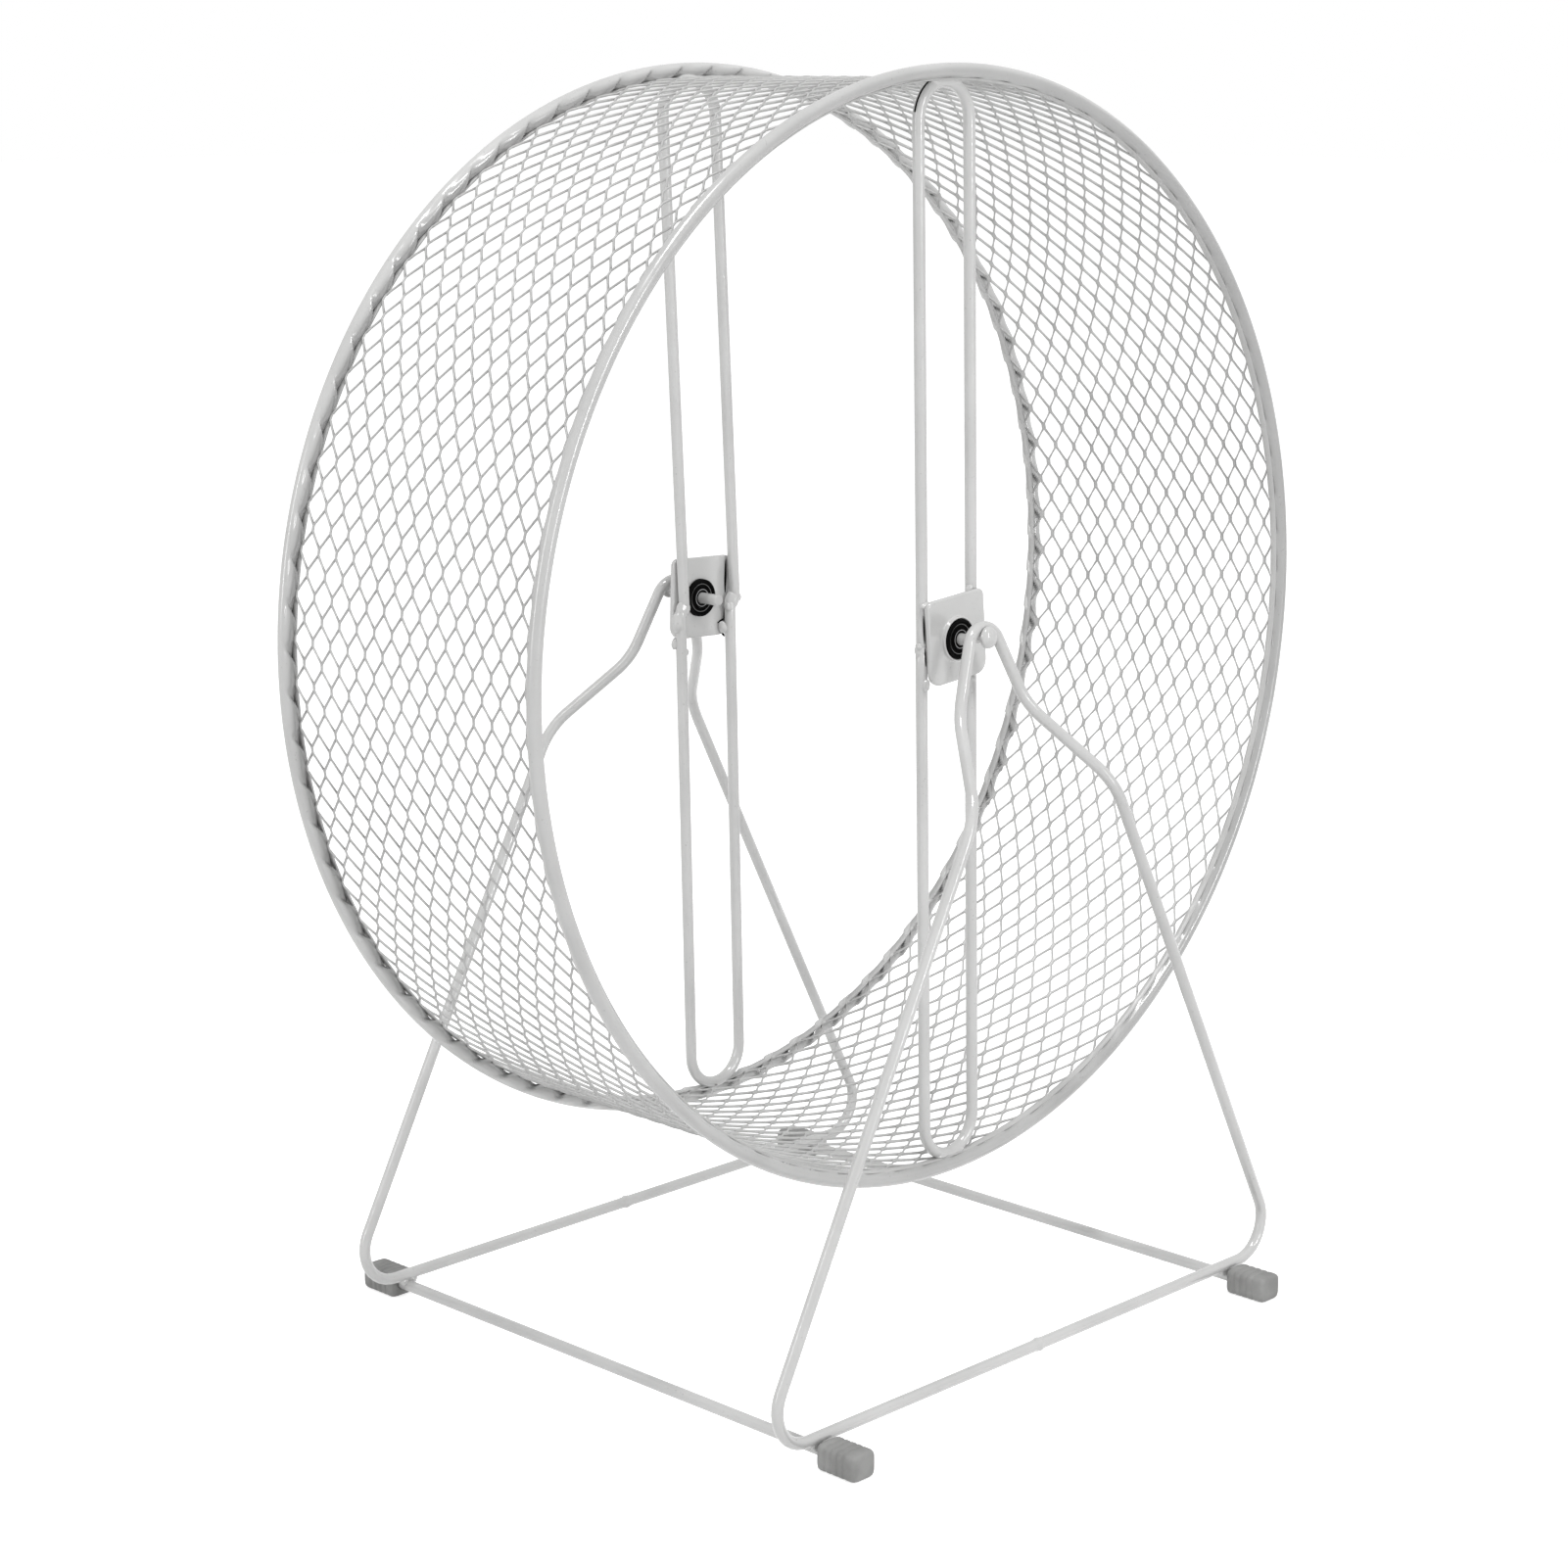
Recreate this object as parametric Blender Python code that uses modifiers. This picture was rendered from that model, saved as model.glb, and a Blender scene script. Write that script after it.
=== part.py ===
"""Free-standing exercise wheel for a small pet.

A drum of expanded metal mesh with a wire hoop at each rim turns on two small
ball bearings. Pairs of U-shaped wire struts carry a hub plate on each side, and
each bearing turns on a short headed pin held under the bend of a wire leg frame.

Metres, +Z up. The origin is on the floor below the middle of the wheel, the
axle runs along Y, the front is at -Y and +X is to the right seen from there.
"""

import math

import bmesh
import bpy
from mathutils import Matrix, Quaternion, Vector

# Wheel
WHEEL_DIAMETER = 0.280
DRUM_WIDTH = 0.0894
RIM_HOOP_THICKNESS = 0.0034
WHEEL_FLOOR_CLEARANCE = 0.045
WHEEL_REST_TURN = math.radians(-1.35)

# Mesh band, drawn with fewer and wider strands than the sheet it stands for
MESH_THICKNESS = 0.0005
MESH_STRAND_WIDTH = 0.0023
MESH_HEM_WIDTH = 0.0027
MESH_CELLS_ROUND = 20
MESH_HALF_ROWS = 7

# Wire and hub
WIRE_DIAMETER = 0.0030
STRUT_TO_BEARING_GAP = 0.0027
STRUT_JOINT_DROP = 0.0020
PLATE_WIDTH = 0.0209
PLATE_HEIGHT = 0.0216
PLATE_THICKNESS = 0.0015
PLATE_TOP_CORNER_RADIUS = 0.0018
PLATE_BOTTOM_CORNER_RADIUS = 0.0036
PLATE_OFF_CENTRE = 0.0006
PLATE_TURN = math.radians(3.5)

# Ball bearings and axle pins
BEARING_DIAMETER = 0.0100
BEARING_WIDTH = 0.0040
BEARING_PROUD = 0.0015
BEARING_CHAMFER = 0.0002
BALL_DIAMETER = 0.001588
BALL_COUNT = 7
SEAL_THICKNESS = 0.00025
SEAL_SEAT_DEPTH = 0.00035
SEAL_RECESS = 0.0001
CAGE_RIM_THICKNESS = 0.0004
AXLE_DIAMETER = 0.0030
AXLE_INNER_REACH = 0.0065
AXLE_END_CHAMFER = 0.0003
AXLE_HEAD_DIAMETER = 0.0056
AXLE_HEAD_HEIGHT = 0.0020
AXLE_HEAD_EDGE = 0.0003

# Leg frames: each bend's place is across from the axle, down from the axle
# and out from the crest that sits on the pin
LEG_TO_BEARING_GAP = 0.0053
LEG_CREST_HALF_WIDTH = 0.0039
LEG_CREST_RADIUS = 0.0055
LEG_UPPER_BEND_ACROSS = 0.0127
LEG_UPPER_BEND_DROP = 0.0166
LEG_UPPER_BEND_OUT = 0.0039
LEG_LOWER_BEND_ACROSS = 0.0266
LEG_LOWER_BEND_DROP = 0.0362
LEG_LOWER_BEND_OUT = 0.0216
LEG_BEND_RADIUS = 0.0200
LEG_FOOT_ACROSS = 0.1010
LEG_FOOT_OUT = 0.0218
LEG_FOOT_RADIUS = 0.0100

# Floor runners and their rubber feet
RUNNER_INSET = 0.0210
RUNNER_OVERHANG = 0.0121
FOOT_WALL = 0.0017
FOOT_SIDE_WALL = 0.0022
FOOT_END_WALL = 0.0020
FOOT_TO_LEG_GAP = 0.0009
FOOT_EDGE_ROUNDING = 0.0012

# Clearances: between welded, pushed-on or resting pieces, and inside a bearing
FITTED_GAP = 0.0003
BEARING_GAP = 0.0001

# Shares of the ball diameter, measured from the circle of ball centres
LAND_SHARE = 0.38
RACE_FLAT_SHARE = 0.25
RACE_EDGE_SHARE = 0.53
CAGE_HALF_THICKNESS_SHARE = 0.20

# Facets
HOOP_SEGMENTS = 72
HOOP_SIDES = 8
STRUT_ARC_STEPS = 8
LEG_ARC_STEPS = 5
RING_STEPS = 20
PIN_STEPS = 16
HEAD_ARC_STEPS = 3
CORNER_STEPS = 3
WIRE_BEVEL_RESOLUTION = 2
BALL_SEGMENTS = 8
BALL_RINGS = 6
MERGE_DISTANCE = 0.000001

# Sizes that follow from the ones above
WIRE_RADIUS = WIRE_DIAMETER / 2
AXLE_RADIUS = AXLE_DIAMETER / 2
HUB_HEIGHT = WHEEL_DIAMETER / 2 + WHEEL_FLOOR_CLEARANCE
HOOP_RADIUS = (WHEEL_DIAMETER - RIM_HOOP_THICKNESS) / 2
BAND_RADIUS = WHEEL_DIAMETER / 2 - RIM_HOOP_THICKNESS - FITTED_GAP
HEM_SEGMENTS = 2 * MESH_CELLS_ROUND
HEM_INNER_RADIUS = (BAND_RADIUS - MESH_THICKNESS) * math.cos(math.pi / HEM_SEGMENTS)

# Distances out along the axle from a rim hoop's middle plane
STRUT_PLANE = -WIRE_RADIUS
PLATE_BACK = STRUT_PLANE + WIRE_RADIUS + FITTED_GAP
PLATE_FRONT = PLATE_BACK + PLATE_THICKNESS
BEARING_FRONT = PLATE_FRONT + BEARING_PROUD
BEARING_MIDDLE = BEARING_FRONT - BEARING_WIDTH / 2
AXLE_INNER_END = BEARING_FRONT - BEARING_WIDTH - AXLE_INNER_REACH
LEG_CREST_PLANE = BEARING_FRONT + LEG_TO_BEARING_GAP + WIRE_RADIUS
AXLE_HEAD_BASE = LEG_CREST_PLANE + WIRE_RADIUS + FITTED_GAP
LEG_FOOT_PLANE = LEG_CREST_PLANE + LEG_FOOT_OUT

STRUT_HALF_SPACING = BEARING_DIAMETER / 2 + STRUT_TO_BEARING_GAP + WIRE_RADIUS
STRUT_REACH = HEM_INNER_RADIUS - FITTED_GAP - WIRE_RADIUS
BALL_CIRCLE_RADIUS = (BEARING_DIAMETER + AXLE_DIAMETER) / 4

FOOT_WIDTH = WIRE_DIAMETER + 2 * (FITTED_GAP + FOOT_SIDE_WALL)
FOOT_HEIGHT = WIRE_DIAMETER + 2 * (FITTED_GAP + FOOT_WALL)
RUNNER_HEIGHT = FOOT_HEIGHT / 2
CROSSBAR_HEIGHT = RUNNER_HEIGHT + WIRE_DIAMETER + FITTED_GAP
RUNNER_ACROSS = LEG_FOOT_ACROSS - RUNNER_INSET
CROSSBAR_FROM_MIDDLE = DRUM_WIDTH / 2 + LEG_FOOT_PLANE
RUNNER_HALF_LENGTH = CROSSBAR_FROM_MIDDLE + RUNNER_OVERHANG

# Finishes: base colour, roughness, metallic
WHITE_PAINT = ((0.58, 0.58, 0.57, 1.0), 0.42, 0.0)
MESH_PAINT = ((0.47, 0.47, 0.46, 1.0), 0.48, 0.0)
BLACK_STEEL = ((0.025, 0.025, 0.027, 1.0), 0.35, 0.6)
BRIGHT_STEEL = ((0.56, 0.57, 0.58, 1.0), 0.22, 1.0)
BLACK_RUBBER = ((0.02, 0.02, 0.02, 1.0), 0.70, 0.0)
GREY_RUBBER = ((0.30, 0.30, 0.30, 1.0), 0.75, 0.0)


def clear_scene():
    """Remove whatever the file opened with."""
    for item in list(bpy.data.objects):
        bpy.data.objects.remove(item, do_unlink=True)


def new_collection(name):
    """Make a collection in the scene."""
    collection = bpy.data.collections.new(name)
    bpy.context.scene.collection.children.link(collection)
    return collection


def new_material(name, finish):
    """Make one Principled material from a (colour, roughness, metallic) finish."""
    colour, roughness, metallic = finish
    material = bpy.data.materials.new(name)
    material.use_nodes = True
    shader = material.node_tree.nodes["Principled BSDF"]
    shader.inputs["Base Color"].default_value = colour
    shader.inputs["Roughness"].default_value = roughness
    shader.inputs["Metallic"].default_value = metallic
    material.diffuse_color = colour
    return material


def new_empty(name, parent=None, location=(0.0, 0.0, 0.0), rotation=(0.0, 0.0, 0.0)):
    """Make an axis or side frame that pieces are parented to."""
    empty = bpy.data.objects.new(name, None)
    empty.location = location
    empty.rotation_euler = rotation
    empty.parent = parent
    empty.empty_display_size = WIRE_DIAMETER
    PART.objects.link(empty)
    return empty


def place(name, data, parent, finish, location=(0.0, 0.0, 0.0), rotation=(0.0, 0.0, 0.0)):
    """Put mesh or curve data in the part's collection as one named piece."""
    piece = bpy.data.objects.new(name, data)
    piece.location = location
    piece.rotation_euler = rotation
    piece.parent = parent
    if not data.materials:
        data.materials.append(new_material(data.name + "_finish", finish))
    PART.objects.link(piece)
    return piece


def place_cutter(name, data, parent, location=(0.0, 0.0, 0.0), rotation=(0.0, 0.0, 0.0)):
    """Put a tool shape for a Boolean modifier in the cutters' collection."""
    cutter = bpy.data.objects.new(name, data)
    cutter.location = location
    cutter.rotation_euler = rotation
    cutter.parent = parent
    cutter.hide_render = True
    cutter.display_type = "WIRE"
    CUTTERS.objects.link(cutter)
    return cutter


def add_boolean(piece, cutter, operation):
    """Cut a tool shape out of a piece, or join it on."""
    modifier = piece.modifiers.new(cutter.name, "BOOLEAN")
    modifier.operation = operation
    modifier.solver = "EXACT"
    modifier.object = cutter


def rounded_route(corners, radii, steps, closed):
    """Round the corners of a route with arcs; a radius of zero keeps the corner.

    An arc of radius r in a corner whose sides u and v open by 2h has its centre
    r / sin h along the bisector and touches each side r / tan h from the corner.
    """
    points = []
    count = len(corners)
    for index, (corner, radius) in enumerate(zip(corners, radii)):
        at_end = not closed and index in (0, count - 1)
        if radius == 0 or at_end:
            points.append(corner)
            continue
        to_last = (corners[index - 1] - corner).normalized()
        to_next = (corners[(index + 1) % count] - corner).normalized()
        half_angle = to_last.angle(to_next) / 2
        bisector = (to_last + to_next).normalized()
        centre = corner + bisector * (radius / math.sin(half_angle))
        start = corner + to_last * (radius / math.tan(half_angle)) - centre
        axis = to_next.cross(to_last)
        sweep = math.pi - 2 * half_angle
        for step in range(steps + 1):
            turn = Quaternion(axis, sweep * step / steps)
            points.append(centre + turn @ start)
    return points


def wire_data(name, points, closed=False):
    """Make a round wire of the one gauge that the whole object is bent from."""
    curve = bpy.data.curves.new(name, "CURVE")
    curve.dimensions = "3D"
    curve.bevel_depth = WIRE_RADIUS
    curve.bevel_resolution = WIRE_BEVEL_RESOLUTION
    curve.use_fill_caps = True
    spline = curve.splines.new("POLY")
    spline.points.add(len(points) - 1)
    for target, point in zip(spline.points, points):
        target.co = (*point, 1.0)
    spline.use_cyclic_u = closed
    spline.use_smooth = True
    return curve


def plate_data(name, outlines, thickness):
    """Make a flat plate from an outline and any holes in it."""
    curve = bpy.data.curves.new(name, "CURVE")
    curve.dimensions = "2D"
    curve.fill_mode = "BOTH"
    curve.extrude = thickness / 2
    for outline in outlines:
        spline = curve.splines.new("POLY")
        spline.points.add(len(outline) - 1)
        for target, (across, up) in zip(spline.points, outline):
            target.co = (across, up, 0.0, 1.0)
        spline.use_cyclic_u = True
    return curve


def circle_points(radius, count):
    """Points round a circle about the origin."""
    angles = [2 * math.pi * index / count for index in range(count)]
    return [(radius * math.cos(angle), radius * math.sin(angle)) for angle in angles]


def turned_piece(name, profile, parent, finish, location, steps, closed):
    """Turn a profile of (radius, height) points round Z with a Screw modifier."""
    mesh = bpy.data.meshes.new(name)
    vertices = [(radius, 0.0, height) for radius, height in profile]
    edges = [(index, index + 1) for index in range(len(profile) - 1)]
    if closed:
        edges.append((len(profile) - 1, 0))
    mesh.from_pydata(vertices, edges, [])
    piece = place(name, mesh, parent, finish, location)
    screw = piece.modifiers.new("turn", "SCREW")
    screw.axis = "Z"
    screw.angle = 2 * math.pi
    screw.steps = steps
    screw.render_steps = steps
    screw.use_merge_vertices = True
    screw.merge_threshold = MERGE_DISTANCE
    screw.use_smooth_shade = False
    return piece


def ball_data(name, radius):
    """Make a ball about its own middle."""
    builder = bmesh.new()
    bmesh.ops.create_uvsphere(
        builder, u_segments=BALL_SEGMENTS, v_segments=BALL_RINGS, radius=radius
    )
    mesh = bpy.data.meshes.new(name)
    builder.to_mesh(mesh)
    builder.free()
    mesh.shade_smooth()
    return mesh


def box_data(name, boxes):
    """Make boxes given as (matrix, size) pairs in one mesh."""
    builder = bmesh.new()
    for matrix, size in boxes:
        bmesh.ops.create_cube(builder, size=1.0, matrix=matrix @ Matrix.Diagonal((*size, 1.0)))
    mesh = bpy.data.meshes.new(name)
    builder.to_mesh(mesh)
    builder.free()
    return mesh


def make_mesh_band(parent):
    """The running surface: staggered diamonds between two plain hems.

    The sheet is laid out flat, s round the drum and t across it. Row k holds
    nodes where strands meet, odd rows half a cell further round. Each diamond
    joins the nodes above, right, below and left of its centre, and an inset of
    half a strand leaves its hole. The sheet is then rolled: angle = s / radius.
    """
    cell = 2 * math.pi * BAND_RADIUS / MESH_CELLS_ROUND
    row_height = (DRUM_WIDTH - 2 * MESH_HEM_WIDTH) / MESH_HALF_ROWS
    half_mesh = row_height * MESH_HALF_ROWS / 2
    builder = bmesh.new()

    def flat_face(corners):
        """A face of the flat sheet, from corners at (half cells round, height across)."""
        vertices = [builder.verts.new((round_ * cell / 2, across, 0.0)) for round_, across in corners]
        return builder.faces.new(vertices)

    cells = []
    for column in range(MESH_CELLS_ROUND):
        for row in range(MESH_HALF_ROWS + 1):
            centre = 2 * column + 1 + row % 2
            level = row * row_height - half_mesh
            left = (centre - 1, level)
            right = (centre + 1, level)
            above = (centre, level + row_height if row < MESH_HALF_ROWS else level)
            below = (centre, level - row_height if row > 0 else level)
            cells.append(flat_face([left, above, right, below]))
    for half_cell in range(HEM_SEGMENTS):
        for low, high in ((-DRUM_WIDTH / 2, -half_mesh), (half_mesh, DRUM_WIDTH / 2)):
            left = half_cell
            right = half_cell + 1
            flat_face([(left, low), (left, high), (right, high), (right, low)])
    bmesh.ops.remove_doubles(builder, verts=builder.verts[:], dist=MERGE_DISTANCE)
    bmesh.ops.inset_individual(
        builder, faces=cells, thickness=MESH_STRAND_WIDTH / 2, use_even_offset=True
    )
    bmesh.ops.delete(builder, geom=cells, context="FACES_ONLY")
    for vertex in builder.verts:
        angle = vertex.co.x / BAND_RADIUS
        across = vertex.co.y
        vertex.co = (BAND_RADIUS * math.cos(angle), across, BAND_RADIUS * math.sin(angle))
    bmesh.ops.remove_doubles(builder, verts=builder.verts[:], dist=MERGE_DISTANCE)
    mesh = bpy.data.meshes.new("mesh_band")
    builder.to_mesh(mesh)
    builder.free()
    piece = place("mesh_band", mesh, parent, MESH_PAINT)
    solidify = piece.modifiers.new("thickness", "SOLIDIFY")
    solidify.thickness = MESH_THICKNESS
    solidify.offset = -1.0
    solidify.use_even_offset = True


def make_rim_hoop(side_name, side):
    """One rim hoop, round the edge of the mesh band."""
    bpy.ops.mesh.primitive_torus_add(
        major_segments=HOOP_SEGMENTS,
        minor_segments=HOOP_SIDES,
        major_radius=HOOP_RADIUS,
        minor_radius=RIM_HOOP_THICKNESS / 2,
    )
    maker = bpy.context.object
    mesh = maker.data
    bpy.data.objects.remove(maker)
    mesh.shade_smooth()
    place(side_name + "_rim_hoop", mesh, side, WHITE_PAINT)


def make_strut(name, side, direction):
    """A U-shaped strut: two rods from the hub plate, joined by a half turn at the rim."""
    joint = -STRUT_JOINT_DROP + direction * FITTED_GAP / 2
    reach = direction * STRUT_REACH
    corners = [
        Vector((-STRUT_HALF_SPACING, joint, STRUT_PLANE)),
        Vector((-STRUT_HALF_SPACING, reach, STRUT_PLANE)),
        Vector((STRUT_HALF_SPACING, reach, STRUT_PLANE)),
        Vector((STRUT_HALF_SPACING, joint, STRUT_PLANE)),
    ]
    radii = [0.0, STRUT_HALF_SPACING, STRUT_HALF_SPACING, 0.0]
    points = rounded_route(corners, radii, STRUT_ARC_STEPS // 2, closed=False)
    del points[STRUT_ARC_STEPS // 2 + 1]
    place(name, wire_data(name, points), side, WHITE_PAINT)


def make_hub_plate(side_name, side):
    """The hub plate, with rounded corners and the hole that holds the bearing.

    It is welded on a little to one side and out of square with the struts.
    """
    name = side_name + "_hub_plate"
    left = PLATE_OFF_CENTRE - PLATE_WIDTH / 2
    right = PLATE_OFF_CENTRE + PLATE_WIDTH / 2
    top = PLATE_HEIGHT / 2
    corners = [
        Vector((left, -top, 0.0)),
        Vector((right, -top, 0.0)),
        Vector((right, top, 0.0)),
        Vector((left, top, 0.0)),
    ]
    radii = [
        PLATE_BOTTOM_CORNER_RADIUS,
        PLATE_BOTTOM_CORNER_RADIUS,
        PLATE_TOP_CORNER_RADIUS,
        PLATE_TOP_CORNER_RADIUS,
    ]
    outline = [point.xy for point in rounded_route(corners, radii, CORNER_STEPS, closed=True)]
    hole = circle_points(BEARING_DIAMETER / 2 + BEARING_GAP, RING_STEPS)
    middle = (0, 0, (PLATE_BACK + PLATE_FRONT) / 2)
    plate = plate_data(name, [outline, hole], PLATE_THICKNESS)
    place(name, plate, side, WHITE_PAINT, middle, (0.0, 0.0, PLATE_TURN))


def make_bearing(side_name, wheel_side, cage_side, stand_side):
    """A sealed ball bearing: the wheel carries its outer ring, the pin its inner ring."""
    half = BEARING_WIDTH / 2
    outer = BEARING_DIAMETER / 2
    bore = AXLE_RADIUS + BEARING_GAP
    race_depth = BALL_DIAMETER / 2 + BEARING_GAP
    race_flat = BALL_DIAMETER * RACE_FLAT_SHARE
    race_edge = BALL_DIAMETER * RACE_EDGE_SHARE
    outer_land = BALL_CIRCLE_RADIUS + BALL_DIAMETER * LAND_SHARE
    inner_land = BALL_CIRCLE_RADIUS - BALL_DIAMETER * LAND_SHARE
    outer_race = BALL_CIRCLE_RADIUS + race_depth
    inner_race = BALL_CIRCLE_RADIUS - race_depth
    seal_seat = outer_land + SEAL_SEAT_DEPTH
    seal_top = half - SEAL_RECESS
    seal_bottom = seal_top - SEAL_THICKNESS
    seat_floor = seal_bottom - BEARING_GAP
    place_at = (0, 0, BEARING_MIDDLE)
    outer_profile = [
        (outer - BEARING_CHAMFER, half),
        (outer, half - BEARING_CHAMFER),
        (outer, BEARING_CHAMFER - half),
        (outer - BEARING_CHAMFER, -half),
        (seal_seat, -half),
        (seal_seat, -seat_floor),
        (outer_land, -seat_floor),
        (outer_land, -race_edge),
        (outer_race, -race_flat),
        (outer_race, race_flat),
        (outer_land, race_edge),
        (outer_land, seat_floor),
        (seal_seat, seat_floor),
        (seal_seat, half),
    ]
    name = side_name + "_bearing_outer_ring"
    turned_piece(name, outer_profile, wheel_side, BLACK_STEEL, place_at, RING_STEPS, closed=True)
    inner_profile = [
        (inner_land, half),
        (inner_land, race_edge),
        (inner_race, race_flat),
        (inner_race, -race_flat),
        (inner_land, -race_edge),
        (inner_land, -half),
        (bore, -half),
        (bore, half),
    ]
    name = side_name + "_bearing_inner_ring"
    turned_piece(name, inner_profile, stand_side, BLACK_STEEL, place_at, RING_STEPS, closed=True)
    for seal_name, direction in (("outer", 1), ("inner", -1)):
        high = max(direction * seal_top, direction * seal_bottom)
        low = min(direction * seal_top, direction * seal_bottom)
        seal_profile = [
            (seal_seat - BEARING_GAP, high),
            (seal_seat - BEARING_GAP, low),
            (inner_land + BEARING_GAP, low),
            (inner_land + BEARING_GAP, high),
        ]
        name = side_name + "_bearing_" + seal_name + "_seal"
        turned_piece(name, seal_profile, wheel_side, BLACK_RUBBER, place_at, RING_STEPS, closed=True)
    ball = ball_data(side_name + "_ball", BALL_DIAMETER / 2)
    for index in range(BALL_COUNT):
        angle = 2 * math.pi * index / BALL_COUNT
        across = BALL_CIRCLE_RADIUS * math.cos(angle)
        up = BALL_CIRCLE_RADIUS * math.sin(angle)
        name = side_name + "_ball_" + str(index + 1)
        place(name, ball, cage_side, BRIGHT_STEEL, (across, up, BEARING_MIDDLE))
    make_bearing_cage(side_name, cage_side, place_at)


def make_bearing_cage(side_name, cage_side, place_at):
    """The ball cage: a ring beside the balls with a post between each two of them."""
    half_thickness = BALL_DIAMETER * CAGE_HALF_THICKNESS_SHARE
    ring_bottom = BALL_DIAMETER / 2 + BEARING_GAP
    ring_top = ring_bottom + CAGE_RIM_THICKNESS
    profile = [
        (BALL_CIRCLE_RADIUS + half_thickness, ring_top),
        (BALL_CIRCLE_RADIUS + half_thickness, ring_bottom),
        (BALL_CIRCLE_RADIUS - half_thickness, ring_bottom),
        (BALL_CIRCLE_RADIUS - half_thickness, ring_top),
    ]
    name = side_name + "_bearing_cage"
    steps = 4 * BALL_COUNT
    ring = turned_piece(name, profile, cage_side, BRIGHT_STEEL, place_at, steps, closed=True)
    ball_spacing = 2 * BALL_CIRCLE_RADIUS * math.sin(math.pi / BALL_COUNT)
    post_width = ball_spacing - BALL_DIAMETER - 4 * BEARING_GAP
    post_bottom = -BALL_DIAMETER / 2
    post_top = ring_bottom + CAGE_RIM_THICKNESS / 2
    post_size = (half_thickness, post_width, post_top - post_bottom)
    posts = []
    for index in range(BALL_COUNT):
        turn = Matrix.Rotation(2 * math.pi * (index + 0.5) / BALL_COUNT, 4, "Z")
        shift = Matrix.Translation((BALL_CIRCLE_RADIUS, 0.0, (post_top + post_bottom) / 2))
        posts.append((turn @ shift, post_size))
    cutter = place_cutter(name + "_posts", box_data(name + "_posts", posts), cage_side, place_at)
    add_boolean(ring, cutter, "UNION")


def make_axle_pin(side_name, stand_side):
    """The headed pin that the bearing turns on."""
    head_radius = AXLE_HEAD_DIAMETER / 2
    dome_height = AXLE_HEAD_HEIGHT - AXLE_HEAD_EDGE
    profile = []
    for step in range(HEAD_ARC_STEPS + 1):
        angle = math.pi / 2 * step / HEAD_ARC_STEPS
        height = AXLE_HEAD_BASE + AXLE_HEAD_EDGE + dome_height * math.cos(angle)
        profile.append((head_radius * math.sin(angle), height))
    profile += [
        (head_radius, AXLE_HEAD_BASE),
        (AXLE_RADIUS, AXLE_HEAD_BASE),
        (AXLE_RADIUS, AXLE_INNER_END + AXLE_END_CHAMFER),
        (AXLE_RADIUS - AXLE_END_CHAMFER, AXLE_INNER_END),
        (0.0, AXLE_INNER_END),
    ]
    name = side_name + "_axle_pin"
    turned_piece(name, profile, stand_side, WHITE_PAINT, (0, 0, 0), PIN_STEPS, closed=False)


def make_leg_frame(side_name, stand_side):
    """One wire bent over the pin, down two legs and along the floor, its ends butted."""
    crest = AXLE_RADIUS + FITTED_GAP + WIRE_RADIUS
    floor = CROSSBAR_HEIGHT - HUB_HEIGHT
    right_side = [
        (LEG_CREST_HALF_WIDTH, crest, LEG_CREST_PLANE),
        (LEG_UPPER_BEND_ACROSS, -LEG_UPPER_BEND_DROP, LEG_CREST_PLANE + LEG_UPPER_BEND_OUT),
        (LEG_LOWER_BEND_ACROSS, -LEG_LOWER_BEND_DROP, LEG_CREST_PLANE + LEG_LOWER_BEND_OUT),
        (LEG_FOOT_ACROSS, floor, LEG_FOOT_PLANE),
    ]
    left_side = [(-across, up, out) for across, up, out in reversed(right_side)]
    corners = [Vector(point) for point in right_side + left_side]
    bends = [LEG_CREST_RADIUS, LEG_BEND_RADIUS, LEG_BEND_RADIUS, LEG_FOOT_RADIUS]
    points = rounded_route(corners, bends + bends[::-1], LEG_ARC_STEPS, closed=True)
    name = side_name + "_leg_frame"
    place(name, wire_data(name, points, closed=True), stand_side, WHITE_PAINT)


def make_runner(side_name, direction):
    """A straight wire along the floor that joins the front and rear leg frames."""
    name = side_name + "_runner"
    points = [Vector((0, -RUNNER_HALF_LENGTH, 0)), Vector((0, RUNNER_HALF_LENGTH, 0))]
    place(
        name,
        wire_data(name, points),
        None,
        WHITE_PAINT,
        (direction * RUNNER_ACROSS, 0, RUNNER_HEIGHT),
    )


def make_foot(name, across_direction, along_direction):
    """A rubber cap pushed on a runner's end, with a flat underside on the floor."""
    inner_end = CROSSBAR_FROM_MIDDLE + WIRE_RADIUS + FOOT_TO_LEG_GAP
    outer_end = RUNNER_HALF_LENGTH + FITTED_GAP + FOOT_END_WALL
    length = outer_end - inner_end
    middle = along_direction * (outer_end + inner_end) / 2
    location = (across_direction * RUNNER_ACROSS, middle, RUNNER_HEIGHT)
    size = (FOOT_WIDTH, length, FOOT_HEIGHT)
    foot = place(name, box_data(name, [(Matrix.Identity(4), size)]), None, GREY_RUBBER, location)
    rounding = foot.modifiers.new("rounding", "BEVEL")
    rounding.width = FOOT_EDGE_ROUNDING
    rounding.segments = 2
    bore_depth = length - FOOT_END_WALL
    builder = bmesh.new()
    bmesh.ops.create_cone(
        builder,
        cap_ends=True,
        segments=PIN_STEPS,
        radius1=WIRE_RADIUS + FITTED_GAP,
        radius2=WIRE_RADIUS + FITTED_GAP,
        depth=2 * bore_depth,
        matrix=Matrix.Rotation(math.pi / 2, 4, "X"),
    )
    bore = bpy.data.meshes.new(name + "_bore")
    builder.to_mesh(bore)
    builder.free()
    bore_place = (location[0], along_direction * inner_end, RUNNER_HEIGHT)
    add_boolean(foot, place_cutter(name + "_bore", bore, None, bore_place), "DIFFERENCE")


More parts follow.
